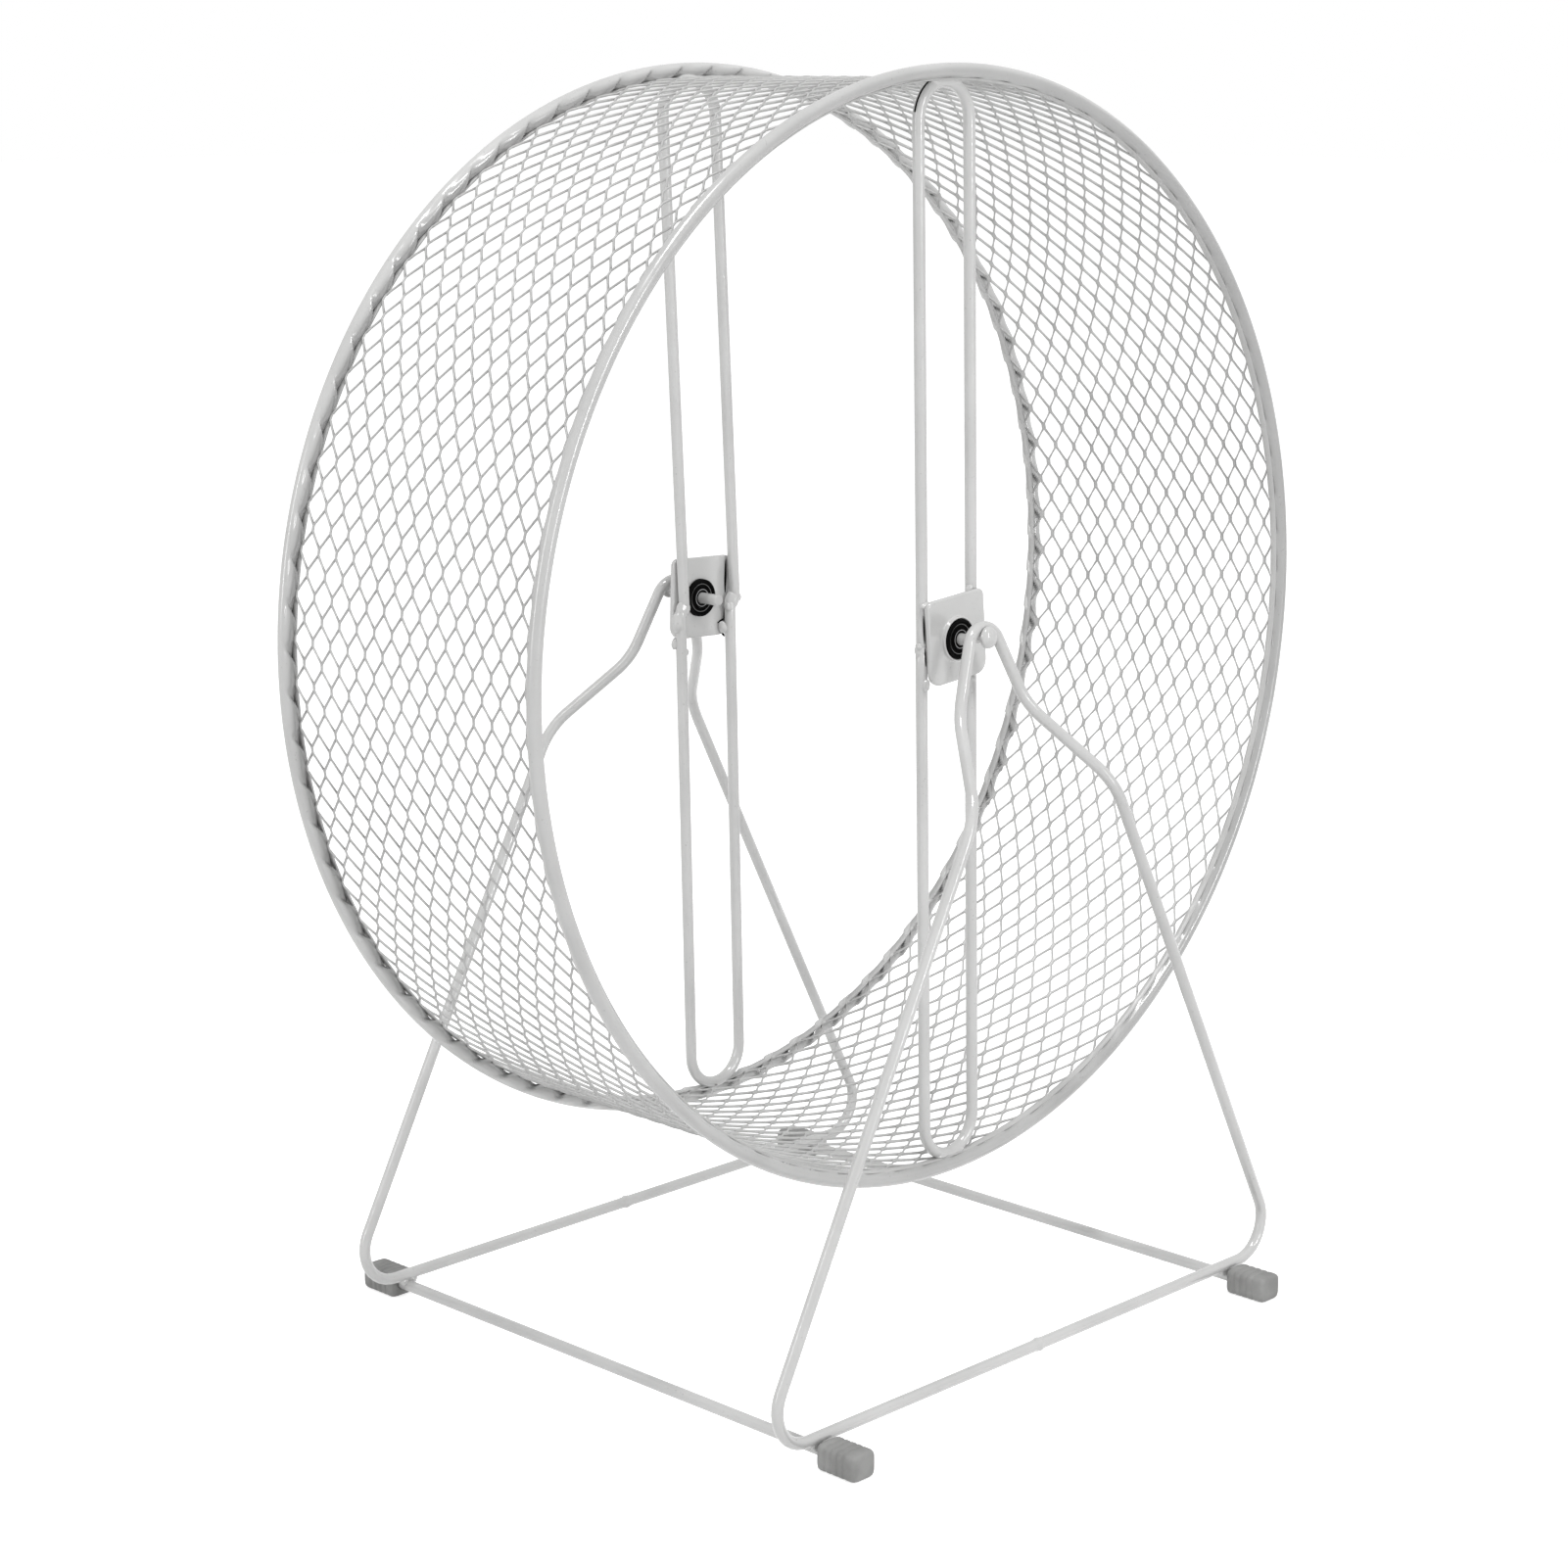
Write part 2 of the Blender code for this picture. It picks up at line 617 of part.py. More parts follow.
def make_side(side_name, direction, wheel_axis):
    """Everything at one rim: hoop, struts, hub, bearing, pin and leg frame.

    A side's own frame has X across, Y up and Z out along the axle from the
    hoop's middle plane. The rear side is the front one turned half round.
    """
    half_turn = 0.0 if direction < 0 else math.pi
    rotation = (math.pi / 2, 0.0, half_turn)
    along = direction * DRUM_WIDTH / 2
    wheel_side = new_empty(side_name + "_wheel_side", wheel_axis, (0, along, 0), rotation)
    cage_side = new_empty(side_name + "_cage_axis", None, (0, along, HUB_HEIGHT), rotation)
    stand_side = new_empty(side_name + "_stand_side", None, (0, along, HUB_HEIGHT), rotation)
    make_rim_hoop(side_name, wheel_side)
    make_strut(side_name + "_upper_strut", wheel_side, 1)
    make_strut(side_name + "_lower_strut", wheel_side, -1)
    make_hub_plate(side_name, wheel_side)
    make_bearing(side_name, wheel_side, cage_side, stand_side)
    make_axle_pin(side_name, stand_side)
    make_leg_frame(side_name, stand_side)


def main():
    wheel_axis = new_empty("wheel_axis", None, (0, 0, HUB_HEIGHT), (0.0, WHEEL_REST_TURN, 0.0))
    make_mesh_band(wheel_axis)
    make_side("front", -1, wheel_axis)
    make_side("rear", 1, wheel_axis)
    for across_name, across in (("left", -1), ("right", 1)):
        make_runner(across_name, across)
        make_foot("front_" + across_name + "_foot", across, -1)
        make_foot("rear_" + across_name + "_foot", across, 1)


clear_scene()
PART = new_collection("hamster_wheel")
CUTTERS = new_collection("cutters")
main()
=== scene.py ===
import math

import bmesh
import bpy
import numpy as np
from mathutils import Matrix, Vector


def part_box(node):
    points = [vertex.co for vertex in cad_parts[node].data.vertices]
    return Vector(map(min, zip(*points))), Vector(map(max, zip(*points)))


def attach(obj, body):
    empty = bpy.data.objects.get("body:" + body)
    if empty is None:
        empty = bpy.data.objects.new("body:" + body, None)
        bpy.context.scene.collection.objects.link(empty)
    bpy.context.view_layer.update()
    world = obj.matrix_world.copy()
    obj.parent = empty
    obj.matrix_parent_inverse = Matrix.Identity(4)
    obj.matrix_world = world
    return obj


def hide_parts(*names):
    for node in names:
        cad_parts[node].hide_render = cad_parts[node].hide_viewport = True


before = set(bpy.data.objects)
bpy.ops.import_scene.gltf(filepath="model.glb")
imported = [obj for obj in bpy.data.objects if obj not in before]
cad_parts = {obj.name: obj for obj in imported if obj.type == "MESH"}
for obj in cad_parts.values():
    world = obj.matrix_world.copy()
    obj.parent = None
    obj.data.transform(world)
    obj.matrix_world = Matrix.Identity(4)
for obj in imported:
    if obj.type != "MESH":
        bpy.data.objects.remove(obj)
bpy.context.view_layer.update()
print("nodes:", len(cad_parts))

# %% [markdown]
# # A free-standing exercise wheel of wire and expanded metal
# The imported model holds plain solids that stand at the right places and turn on
# the right joints. This script builds the surfaces that are seen over them.
# Each new piece takes the place of one solid, or of a few, and rides on its body.
#
# ## Sizes
# The real wheel is bent from one gauge of wire, 3 mm thick, and turns on two
# bearings of 10 mm. Lengths are written in millimetres, as on a drawing, and
# become metres only when a mesh is made. Most of them repeat the solids' sizes,
# so the first thing to print is how well they agree.

# %% Main sizes, in millimetres
MM = 0.001
HUB_HEIGHT = 185.0
RIM_PLANE = 44.7
HOOP_RADIUS = 138.2
HOOP_THICKNESS = 3.4
SHEET_RADIUS = 136.15
WIRE_RADIUS = 1.5
REST_TURN = math.radians(-1.35)
SIDES = {"front": -1.0, "rear": 1.0}

hoop_low, hoop_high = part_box("front_rim_hoop")
print("hoop plane, CAD:", round((hoop_low.y + hoop_high.y) / 2 / MM, 2), "here:", -RIM_PLANE)
print("hub height, CAD:", round((hoop_low.z + hoop_high.z) / 2 / MM, 2), "here:", HUB_HEIGHT)

# %% [markdown]
# ## A frame for each side
# Front and rear are alike, so every hub piece is drawn once in a frame of its
# own: across, up, and out along the axle from the middle plane of the hoop. The
# rear side is the front one turned half round, which keeps left-hand and
# right-hand shapes apart as a mirror would not. Pieces of the wheel also get
# the small turn at which the wheel came to rest.

# %% From a side's frame to the world
def turned_to_rest(points):
    """Turn (x, y, z) about the axle: x' = x cos a + z sin a, z' = z cos a - x sin a."""
    x, y, z = np.asarray(points, float).reshape(-1, 3).T
    c, s = math.cos(REST_TURN), math.sin(REST_TURN)
    return np.stack([x * c + z * s, y, z * c - x * s + HUB_HEIGHT], axis=1)


def on_side(points, side, on_wheel):
    """Take (across, up, out) to world (x, y, z), all in millimetres.

    x is across, with its sign changed at the rear; y runs out from the hoop's
    plane; a wheel piece is then turned about the axle by the rest turn.
    """
    across, up, out = np.asarray(points, float).reshape(-1, 3).T
    world = np.stack([-SIDES[side] * across, SIDES[side] * (RIM_PLANE + out), up], axis=1)
    return turned_to_rest(world) if on_wheel else world + (0, 0, HUB_HEIGHT)


print("near end of the front pin:", on_side((0, 0, 13.9), "front", False).round(1))

# %% [markdown]
# ## Surfaces from arrays
# Every surface here is a grid of points, one row after another, and its faces
# follow from the grid alone. That is quicker than modelling by hand, and a
# change of one number redraws the piece. Grids close on themselves round a
# wire, and a pole is a row whose points all meet.

# %% Grid faces
def grid_faces(rows, columns, close_rows=False, close_columns=False):
    """Four-cornered faces between neighbouring rows and columns of a grid."""
    index = np.arange(rows * columns).reshape(rows, columns)
    if close_rows:
        index = np.vstack([index, index[:1]])
    if close_columns:
        index = np.hstack([index, index[:, :1]])
    corners = [index[:-1, :-1], index[:-1, 1:], index[1:, 1:], index[1:, :-1]]
    return np.stack(corners, axis=-1).reshape(-1, 4)


def joined(shells):
    """Put several (points, faces) pairs into one pair, with the faces renumbered."""
    starts = np.cumsum([0] + [len(points) for points, _ in shells])
    points = np.concatenate([points for points, _ in shells])
    faces = np.concatenate([faces + start for (_, faces), start in zip(shells, starts)])
    return points, faces


print("faces of a tube with 3 circles of 8:", len(grid_faces(3, 8, close_columns=True)))

# %% [markdown]
# The mesh maker takes such grids, in millimetres, and makes one object of them.
# Where points meet they are merged, and all faces are turned outwards, so that
# light and shadow are right. The object rides on a body by name, and it takes the
# place of the solids that it replaces, which stay for collision only.

# %% The mesh maker
MERGE_DISTANCE = 0.002
SHARP_ANGLE = 40.0


def make_piece(name, shells, body, finish, replaces=(), sharp=SHARP_ANGLE, painted_shade=None):
    """Make one object from shells in world millimetres and hang it on its body.

    Points that meet are merged, and the faces are turned outwards. The optional
    values of painted shade, one for each point, are kept for the finish to read.
    """
    points, faces = joined(shells)
    mesh = bpy.data.meshes.new(name)
    mesh.from_pydata((points * MM).tolist(), [], faces.tolist())
    if painted_shade is not None:
        mesh.attributes.new("painted_shade", "FLOAT", "POINT").data.foreach_set("value", painted_shade)
    builder = bmesh.new()
    builder.from_mesh(mesh)
    bmesh.ops.remove_doubles(builder, verts=builder.verts[:], dist=MERGE_DISTANCE * MM)
    bmesh.ops.recalc_face_normals(builder, faces=builder.faces[:])
    builder.to_mesh(mesh)
    builder.free()
    mesh.shade_smooth()
    mesh.set_sharp_from_angle(angle=math.radians(sharp))
    mesh.materials.append(finish)
    piece = bpy.data.objects.new(name, mesh)
    bpy.context.scene.collection.objects.link(piece)
    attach(piece, body)
    if replaces:
        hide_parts(*replaces)
    print(name, "faces:", len(mesh.polygons))
    return piece


print("points closer than", MERGE_DISTANCE, "mm are merged")

# %% [markdown]
# ## Wires
# A wire is a circle carried along a path. The bends of the real wire are arcs,
# so a path is given by its corners and a radius for each, and the arcs are
# worked out from those, as a bending jig would do it.

# %% Paths with rounded corners
def rounded_path(corners, radii, steps):
    """Replace each corner by an arc that touches both of its sides.

    With u and v along the two sides and 2h the angle between them, the arc's
    centre is r / sin h along the bisector m, and with n square to m in the same
    plane its points are centre + r (n sin q - m cos q). Radius 0 keeps a corner.
    """
    corners = np.asarray(corners, float)
    parts = []
    for index, radius in enumerate(radii):
        corner = corners[index]
        if radius == 0:
            parts.append(corner[None])
            continue
        u = corners[index - 1] - corner
        v = corners[(index + 1) % len(corners)] - corner
        u, v = u / np.linalg.norm(u), v / np.linalg.norm(v)
        half = math.acos(np.clip(u @ v, -1, 1)) / 2
        m = (u + v) / np.linalg.norm(u + v)
        n = (v - u) / np.linalg.norm(v - u)
        q = np.linspace(half - math.pi / 2, math.pi / 2 - half, steps + 1)[:, None]
        parts.append(corner + m * radius / math.sin(half) + radius * (n * np.sin(q) - m * np.cos(q)))
    return np.concatenate(parts)


def divided(path, longest):
    """Split the long straight runs of a path, so that its faces stay fairly even."""
    path = np.asarray(path, float)
    runs = np.linalg.norm(np.diff(path, axis=0), axis=1)
    parts = [np.linspace(a, b, max(1, int(run / longest)), endpoint=False)
             for a, b, run in zip(path[:-1], path[1:], runs)]
    return np.concatenate(parts + [path[-1:]])


print("points of a square corner:", len(rounded_path([(0, 9, 0), (0, 0, 0), (9, 0, 0)], [0, 3, 0], 8)))

# %% [markdown]
# The ends of a cut wire are filed a little round before it is painted, so the
# circle shrinks over the last 0.4 mm of the wire and then closes in a pole.
# A hoop or a frame has no ends, and its last circle joins its first.

# %% A wire along a path
WIRE_SIDES = 28
END_LENGTH = 0.4
END_SHARES = np.array([0.0, 0.72, 0.9, 1.0])
END_DEPTHS = np.array([0.0, 0.0, 0.25, 1.0])


def tube(path, radius, reference, sides=WIRE_SIDES):
    """Carry a circle along a path, as an open wire with rounded ends or a ring.

    t is the path's direction, u = t x reference and v = u x t; a point of the
    surface is path + radius (cos q u + sin q v). A path that ends where it
    starts gives a ring.
    """
    path = np.asarray(path, float)
    ring = np.allclose(path[0], path[-1])
    if ring:
        path = path[:-1]
        ahead = np.roll(path, -1, axis=0) - np.roll(path, 1, axis=0)
    else:
        ahead = np.gradient(path, axis=0)
    t = ahead / np.linalg.norm(ahead, axis=1, keepdims=True)
    size = np.full(len(path), float(radius))
    if not ring:
        first = path[0] + END_LENGTH * END_DEPTHS[:, None] * t[0]
        last = path[-1] - END_LENGTH * END_DEPTHS[::-1, None] * t[-1]
        path = np.vstack([first, path[1:-1], last])
        circles = len(END_SHARES)
        t = np.vstack([np.repeat(t[:1], circles, 0), t[1:-1], np.repeat(t[-1:], circles, 0)])
        size = radius * np.concatenate([END_SHARES, np.ones(len(size) - 2), END_SHARES[::-1]])
    u = np.cross(t, np.asarray(reference, float))
    u /= np.linalg.norm(u, axis=1, keepdims=True)
    v = np.cross(u, t)
    q = np.arange(sides) * 2 * math.pi / sides
    circle = np.cos(q)[None, :, None] * u[:, None] + np.sin(q)[None, :, None] * v[:, None]
    points = path[:, None] + size[:, None, None] * circle
    return points.reshape(-1, 3), grid_faces(len(path), sides, close_rows=ring, close_columns=True)


print("a straight wire has", len(tube([(0, 0, 0), (0, 0, 9)], 1.5, (1, 0, 0))[0]), "points")

# %% [markdown]
# ## Turned shapes and weld beads
# Pins and bearing rings come off a lathe: a profile of radius and height, turned
# about the axle. A weld bead is a lump of metal that froze while it was running,
# so it is an egg with shallow waves, unlike its neighbours but the same each time.

# %% Lathe and bead
LATHE_STEPS = 72
EDGE_STEPS = 4
BEAD_ROWS, BEAD_COLUMNS = 16, 24
BEAD_WAVES = (0.07, 0.06, 0.03)


def turned(profile, steps=LATHE_STEPS, closed=True):
    """Turn a profile about the axle: point = (r cos q, r sin q, out)."""
    r, out = np.asarray(profile, float).T
    q = np.arange(steps) * 2 * math.pi / steps
    points = np.stack([np.outer(r, np.cos(q)), np.outer(r, np.sin(q)), np.outer(out, np.ones(steps))], -1)
    return points.reshape(-1, 3), grid_faces(len(r), steps, close_rows=closed, close_columns=True)


def soft_corners(profile, radii):
    """Round the corners of a lathe profile, in the plane of radius and height."""
    flat = [(r, out, 0.0) for r, out in profile]
    return rounded_path(flat, radii, EDGE_STEPS)[:, :2]


def bead(size, seed):
    """A weld bead about zero: an egg whose radius is 1 + waves of its two angles.

    Its poles, a = 0 and a = 180 degrees, lie along its first size. The waves are
    three sines that fade towards the poles, with phases drawn from the seed.
    """
    a = np.linspace(0, math.pi, BEAD_ROWS)[:, None]
    b = np.arange(BEAD_COLUMNS)[None, :] * 2 * math.pi / BEAD_COLUMNS
    phase = np.random.default_rng(seed).uniform(0, 2 * math.pi, 4)
    waves = BEAD_WAVES[0] * np.sin(3 * b + phase[0]) * np.sin(a) ** 2
    waves = waves + BEAD_WAVES[1] * np.sin(4 * a + phase[1]) * np.sin(2 * b + phase[2]) * np.sin(a)
    waves = waves + BEAD_WAVES[2] * np.sin(7 * b + phase[3]) * np.sin(a) ** 3
    radius = 1 + waves
    egg = np.stack([np.cos(a) * radius, np.sin(a) * np.cos(b) * radius, np.sin(a) * np.sin(b) * radius], -1)
    return egg.reshape(-1, 3) * size, grid_faces(BEAD_ROWS, BEAD_COLUMNS, close_columns=True)


print("a bead has", len(bead((2, 1, 1), 1)[0]), "points")

# %% [markdown]
# ## Finishes
# A finish is a small net of nodes round one shader. Its patterns are noise of a
# given size, and they follow the object's own coordinates, so they are fixed to
# the metal and turn with the wheel. Picture textures would need seams, and noise
# has none.

# %% Material and noise
def start_finish(name, roughness, metallic=0.0, specular=0.5):
    """Make a material and return its tree, its shader and its coordinates."""
    material = bpy.data.materials.new(name)
    material.use_nodes = True
    tree = material.node_tree
    shader = tree.nodes["Principled BSDF"]
    shader.inputs["Roughness"].default_value = roughness
    shader.inputs["Metallic"].default_value = metallic
    shader.inputs["Specular IOR Level"].default_value = specular
    place = tree.nodes.new("ShaderNodeTexCoord").outputs["Object"]
    return material, tree, shader, place


def noise(tree, place, size, detail=2.0, distortion=0.0):
    """Noise whose lumps are about size millimetres across."""
    node = tree.nodes.new("ShaderNodeTexNoise")
    node.inputs["Scale"].default_value = 1 / (size * MM)
    node.inputs["Detail"].default_value = detail
    node.inputs["Distortion"].default_value = distortion
    tree.links.new(place, node.inputs["Vector"])
    return node.outputs["Fac"]


print("noise with lumps of 1 mm has the scale", 1 / MM)

# %% [markdown]
# Noise is only a number. A ramp or a mix makes colour of it, a stretch to a range
# makes it roughness, and bump tilts the light on the surface by it. Each of these
# nodes has a helper, because every finish needs them.

# %% From noise to colour, gloss and bump
def ramp(tree, value, stops):
    """Colour ramp from (position, colour) stops."""
    node = tree.nodes.new("ShaderNodeValToRGB")
    while len(node.color_ramp.elements) < len(stops):
        node.color_ramp.elements.new(0.5)
    for element, (position, colour) in zip(node.color_ramp.elements, stops):
        element.position = position
        element.color = (*colour, 1.0)
    tree.links.new(value, node.inputs["Fac"])
    return node.outputs["Color"]


def spread(tree, value, low, high, start=0.3, end=0.7):
    """Stretch a value from start to end, where most noise lies, to run from low to high."""
    node = tree.nodes.new("ShaderNodeMapRange")
    node.inputs["From Min"].default_value = start
    node.inputs["From Max"].default_value = end
    node.inputs["To Min"].default_value = low
    node.inputs["To Max"].default_value = high
    tree.links.new(value, node.inputs["Value"])
    return node.outputs["Result"]


def bump(tree, shader, height, depth, under=None):
    """Raise the surface by a height pattern, depth millimetres deep."""
    node = tree.nodes.new("ShaderNodeBump")
    node.inputs["Distance"].default_value = depth * MM
    tree.links.new(height, node.inputs["Height"])
    if under is not None:
        tree.links.new(under, node.inputs["Normal"])
    tree.links.new(node.outputs["Normal"], shader.inputs["Normal"])
    return node.outputs["Normal"]


def mixed(tree, share, first, second):
    """Mix a socket's colour towards a fixed one by a share from 0 to 1."""
    mix = tree.nodes.new("ShaderNodeMix")
    mix.data_type = "RGBA"
    mix.inputs["B"].default_value = (*second, 1.0)
    tree.links.new(share, mix.inputs["Factor"])
    tree.links.new(first, mix.inputs["A"])
    return mix.outputs["Result"]


print("node helpers:", ", ".join(helper.__name__ for helper in (ramp, spread, bump, mixed)))

# %% [markdown]
# All the wire is powder-coated: a white skin with a faint orange peel, a little
# uneven in tone and gloss. Noise in several sizes does it: soft patches and a few
# dark specks as colour, slow waves and the peel as bump, and the gloss as
# roughness. The mesh's coat has darker tones than the rest, as painted shade, and
# the rims have a paint of their own, which reads from each point how much painted
# shade it gets.

# %% Powder coat in three grades
WHITE_TONES = (0.60, 0.60, 0.595), (0.55, 0.55, 0.545)
# The mesh has the same white coat as the rest, made darker here as painted shade.
SHADED_MESH_TONES = (0.53, 0.53, 0.525), (0.47, 0.47, 0.465)
# Near-black that the rims' painted shade mixes in.
PAINTED_SHADE_BLACK = (0.06, 0.06, 0.06)
PATCH_SIZE = 22.0
SPECK_SIZE = 0.8
SPECK_SHARE, SPECK_DARKNESS = 0.8, 0.72
GLOSS_PATCH_SIZE = 5.0
SLOW_WAVE_SIZE, SLOW_WAVE_DEPTH = 3.5, 0.035


def powder_coat(name, tones, roughness, peel_size, peel_depth, with_shade_attribute=False):
    """White powder coat: tone in soft patches, orange peel, and a few dark specks.

    The two tones are the light and the dark one. With the shade flag, a value kept
    on each point mixes the tone towards near-black, as painted shade.
    """
    light, dark = tones
    material, tree, shader, place = start_finish(name, roughness, specular=1.0)
    tone = ramp(tree, noise(tree, place, PATCH_SIZE, 3.0), [(0.36, dark), (0.62, light)])
    specks = spread(tree, noise(tree, place, SPECK_SIZE, 1.0), 0.0, SPECK_SHARE, start=0.70, end=0.82)
    tone = mixed(tree, specks, tone, [SPECK_DARKNESS * value for value in dark])
    if with_shade_attribute:
        # Painted shade on the rims: the tone is mixed towards near-black by a value on each point.
        attribute = tree.nodes.new("ShaderNodeAttribute")
        attribute.attribute_name = "painted_shade"
        tone = mixed(tree, attribute.outputs["Fac"], tone, PAINTED_SHADE_BLACK)
    tree.links.new(tone, shader.inputs["Base Color"])
    gloss = spread(tree, noise(tree, place, GLOSS_PATCH_SIZE), roughness - 0.05, roughness + 0.07)
    tree.links.new(gloss, shader.inputs["Roughness"])
    slow = bump(tree, shader, noise(tree, place, SLOW_WAVE_SIZE, 1.0), SLOW_WAVE_DEPTH)
    bump(tree, shader, noise(tree, place, peel_size), peel_depth, under=slow)
    return material


white_paint = powder_coat("white_powder_coat", WHITE_TONES, 0.13, peel_size=0.7, peel_depth=0.010)
shaded_rim_paint = powder_coat("rim_coat_with_painted_shade", WHITE_TONES, 0.20, peel_size=0.7, peel_depth=0.012,
                        with_shade_attribute=True)
mesh_paint = powder_coat("mesh_powder_coat", SHADED_MESH_TONES, 0.40, peel_size=0.4, peel_depth=0.010)
print("paints:", white_paint.name, shaded_rim_paint.name, mesh_paint.name)

# %% [markdown]
# Lighter bands are painted on the edge of a bearing's inner ring, the ridge of
# its seals and the balls, as painted highlights. All are circles about the axle,
# so what a material needs is the distance from the axle: Mapping moves zero up
# to the hub, and the length of the flat part is that distance. A band is a tent
# function of it, high in the middle of the band and zero beyond its width.

# %% Distance from the axle, and bands along it
def about_axle(tree, place):
    """Object coordinates with their zero moved up to the axle."""
    centred = tree.nodes.new("ShaderNodeMapping")
    centred.inputs["Location"].default_value = (0.0, 0.0, -HUB_HEIGHT * MM)
    tree.links.new(place, centred.inputs["Vector"])
    return centred.outputs["Vector"]


def painted_highlight_rings(tree, centred, highlight_bands):
    """Sum of tents: strength x max(0, 1 - |r - middle| / width), r about the axle."""
    flat = tree.nodes.new("ShaderNodeVectorMath")
    flat.operation = "MULTIPLY"
    flat.inputs[1].default_value = (1 / MM, 0.0, 1 / MM)
    tree.links.new(centred, flat.inputs[0])
    length = tree.nodes.new("ShaderNodeVectorMath")
    length.operation = "LENGTH"
    tree.links.new(flat.outputs["Vector"], length.inputs[0])
    total = None
    for middle_radius, width, strength in highlight_bands:
        radius = length.outputs["Value"]
        rise = spread(tree, radius, 0.0, strength, middle_radius - width, middle_radius)
        fall = spread(tree, radius, strength, 0.0, middle_radius, middle_radius + width)
        tent = tree.nodes.new("ShaderNodeMath")
        tent.operation = "MINIMUM"
        tree.links.new(rise, tent.inputs[0])
        tree.links.new(fall, tent.inputs[1])
        if total is not None:
            both = tree.nodes.new("ShaderNodeMath")
            both.operation = "ADD"
            tree.links.new(total, both.inputs[0])
            tree.links.new(tent.outputs[0], both.inputs[1])
            tent = both
        total = tent.outputs[0]
    return total


print("the axle's line goes through z =", HUB_HEIGHT * MM)

# %% [markdown]
# The bearing's rings are blackened steel with the fine rings that turning leaves,
# so their bump is a ring wave about the axle. Balls and cages are bright steel,
# made by the same function with a finer ring, a real metal's shine and less dark.

# %% Bearing steel
WAVE_RADIANS = 20.0
RING_DISTORTION, RING_DETAIL = 0.6, 2.0
STAIN_SIZE, STAIN_LIGHT, STAIN_DARK = 1.6, 1.25, 0.75
STEEL_GRAIN_SIZE = 0.5


def turned_steel(name, colour, highlight_colour, roughness, metallic, specular, ring_pitch, ring_depth, highlight_bands):
    """Steel with turned rings about the axle, a soft stain of oil, and bands of painted highlight.

    A ring wave runs through 20 radians to a unit of length, which its scale has
    to undo: scale = 2 pi / (20 x pitch).
    """
    material, tree, shader, place = start_finish(name, roughness, metallic, specular=specular)
    centred = about_axle(tree, place)
    rings = tree.nodes.new("ShaderNodeTexWave")
    rings.wave_type = "RINGS"
    rings.rings_direction = "Y"
    rings.inputs["Scale"].default_value = 2 * math.pi / (WAVE_RADIANS * ring_pitch * MM)
    rings.inputs["Distortion"].default_value = RING_DISTORTION
    rings.inputs["Detail"].default_value = RING_DETAIL
    tree.links.new(centred, rings.inputs["Vector"])
    bump(tree, shader, rings.outputs["Fac"], ring_depth)
    light = tuple(STAIN_LIGHT * value for value in colour)
    dark = tuple(STAIN_DARK * value for value in colour)
    stain = ramp(tree, noise(tree, place, STAIN_SIZE, 3.0, 0.5), [(0.35, dark), (0.65, light)])
    tone = mixed(tree, painted_highlight_rings(tree, centred, highlight_bands), stain, highlight_colour)
    tree.links.new(tone, shader.inputs["Base Color"])
    gloss = spread(tree, noise(tree, place, STEEL_GRAIN_SIZE), roughness - 0.06, roughness + 0.10)
    tree.links.new(gloss, shader.inputs["Roughness"])
    return material


# The bands are painted highlights: a light ring on each inner ring's edge, and a lighter belt on the balls.
black_steel = turned_steel(
    "black_bearing_steel", colour=(0.004, 0.004, 0.004), highlight_colour=(0.55, 0.55, 0.56), roughness=0.30,
    metallic=0.0, specular=0.02, ring_pitch=0.754, ring_depth=0.006, highlight_bands=[(2.27, 0.15, 1.0)])
bright_steel = turned_steel(
    "bright_ball_steel", colour=(0.56, 0.57, 0.58), highlight_colour=(0.80, 0.80, 0.80), roughness=0.18,
    metallic=1.0, specular=0.5, ring_pitch=0.314, ring_depth=0.002, highlight_bands=[(3.25, 0.30, 0.40)])
print("steels:", black_steel.name, bright_steel.name)

# %% [markdown]
# The rubber of the seals is black and that of the feet is grey. Both are matt,
# with a fine grain and a little dust, so one function makes the two.

# %% Rubber
# Colour of the painted highlight ring on the seals.
HIGHLIGHT_RUBBER = (0.32, 0.32, 0.32)
DUST_SIZE, DULL_PATCH_SIZE = 6.0, 2.0


def rubber(name, light, dark, roughness, specular, grain, depth, highlight_bands=()):
    """Matt rubber: fine grain as bump, dust as a change of tone, and bands of painted highlight."""
    material, tree, shader, place = start_finish(name, roughness, specular=specular)
    tone = ramp(tree, noise(tree, place, DUST_SIZE, 4.0), [(0.35, dark), (0.65, light)])
    if highlight_bands:
        tone = mixed(tree, painted_highlight_rings(tree, about_axle(tree, place), highlight_bands), tone, HIGHLIGHT_RUBBER)
    tree.links.new(tone, shader.inputs["Base Color"])
    bump(tree, shader, noise(tree, place, grain, 3.0), depth)
    gloss = spread(tree, noise(tree, place, DULL_PATCH_SIZE), roughness - 0.08, roughness + 0.08)
    tree.links.new(gloss, shader.inputs["Roughness"])
    return material


# The band on the seals is a painted highlight ring on their ridge.
black_rubber = rubber(
    "black_seal_rubber", light=(0.005, 0.005, 0.005), dark=(0.003, 0.003, 0.003), roughness=0.50,
    specular=0.02, grain=0.15, depth=0.008, highlight_bands=[(3.70, 0.14, 1.0)])
grey_rubber = rubber(
    "grey_foot_rubber", light=(0.34, 0.34, 0.335), dark=(0.27, 0.27, 0.265), roughness=0.74,
    specular=0.35, grain=0.35, depth=0.030)
print("rubbers:", black_rubber.name, grey_rubber.name)

# %% [markdown]
# ## The running surface
# Expanded metal starts as a plain sheet. A press cuts rows of slits and pulls it
# out at the same stroke, so every strand is twisted a little out of the sheet's
# plane and meets its neighbours in a short bond. Nothing is woven, so crossing
# cylinders would be wrong. One cell is drawn flat as a ring of faces round a hole,
# and it is repeated, rolled into a drum and given its thickness.

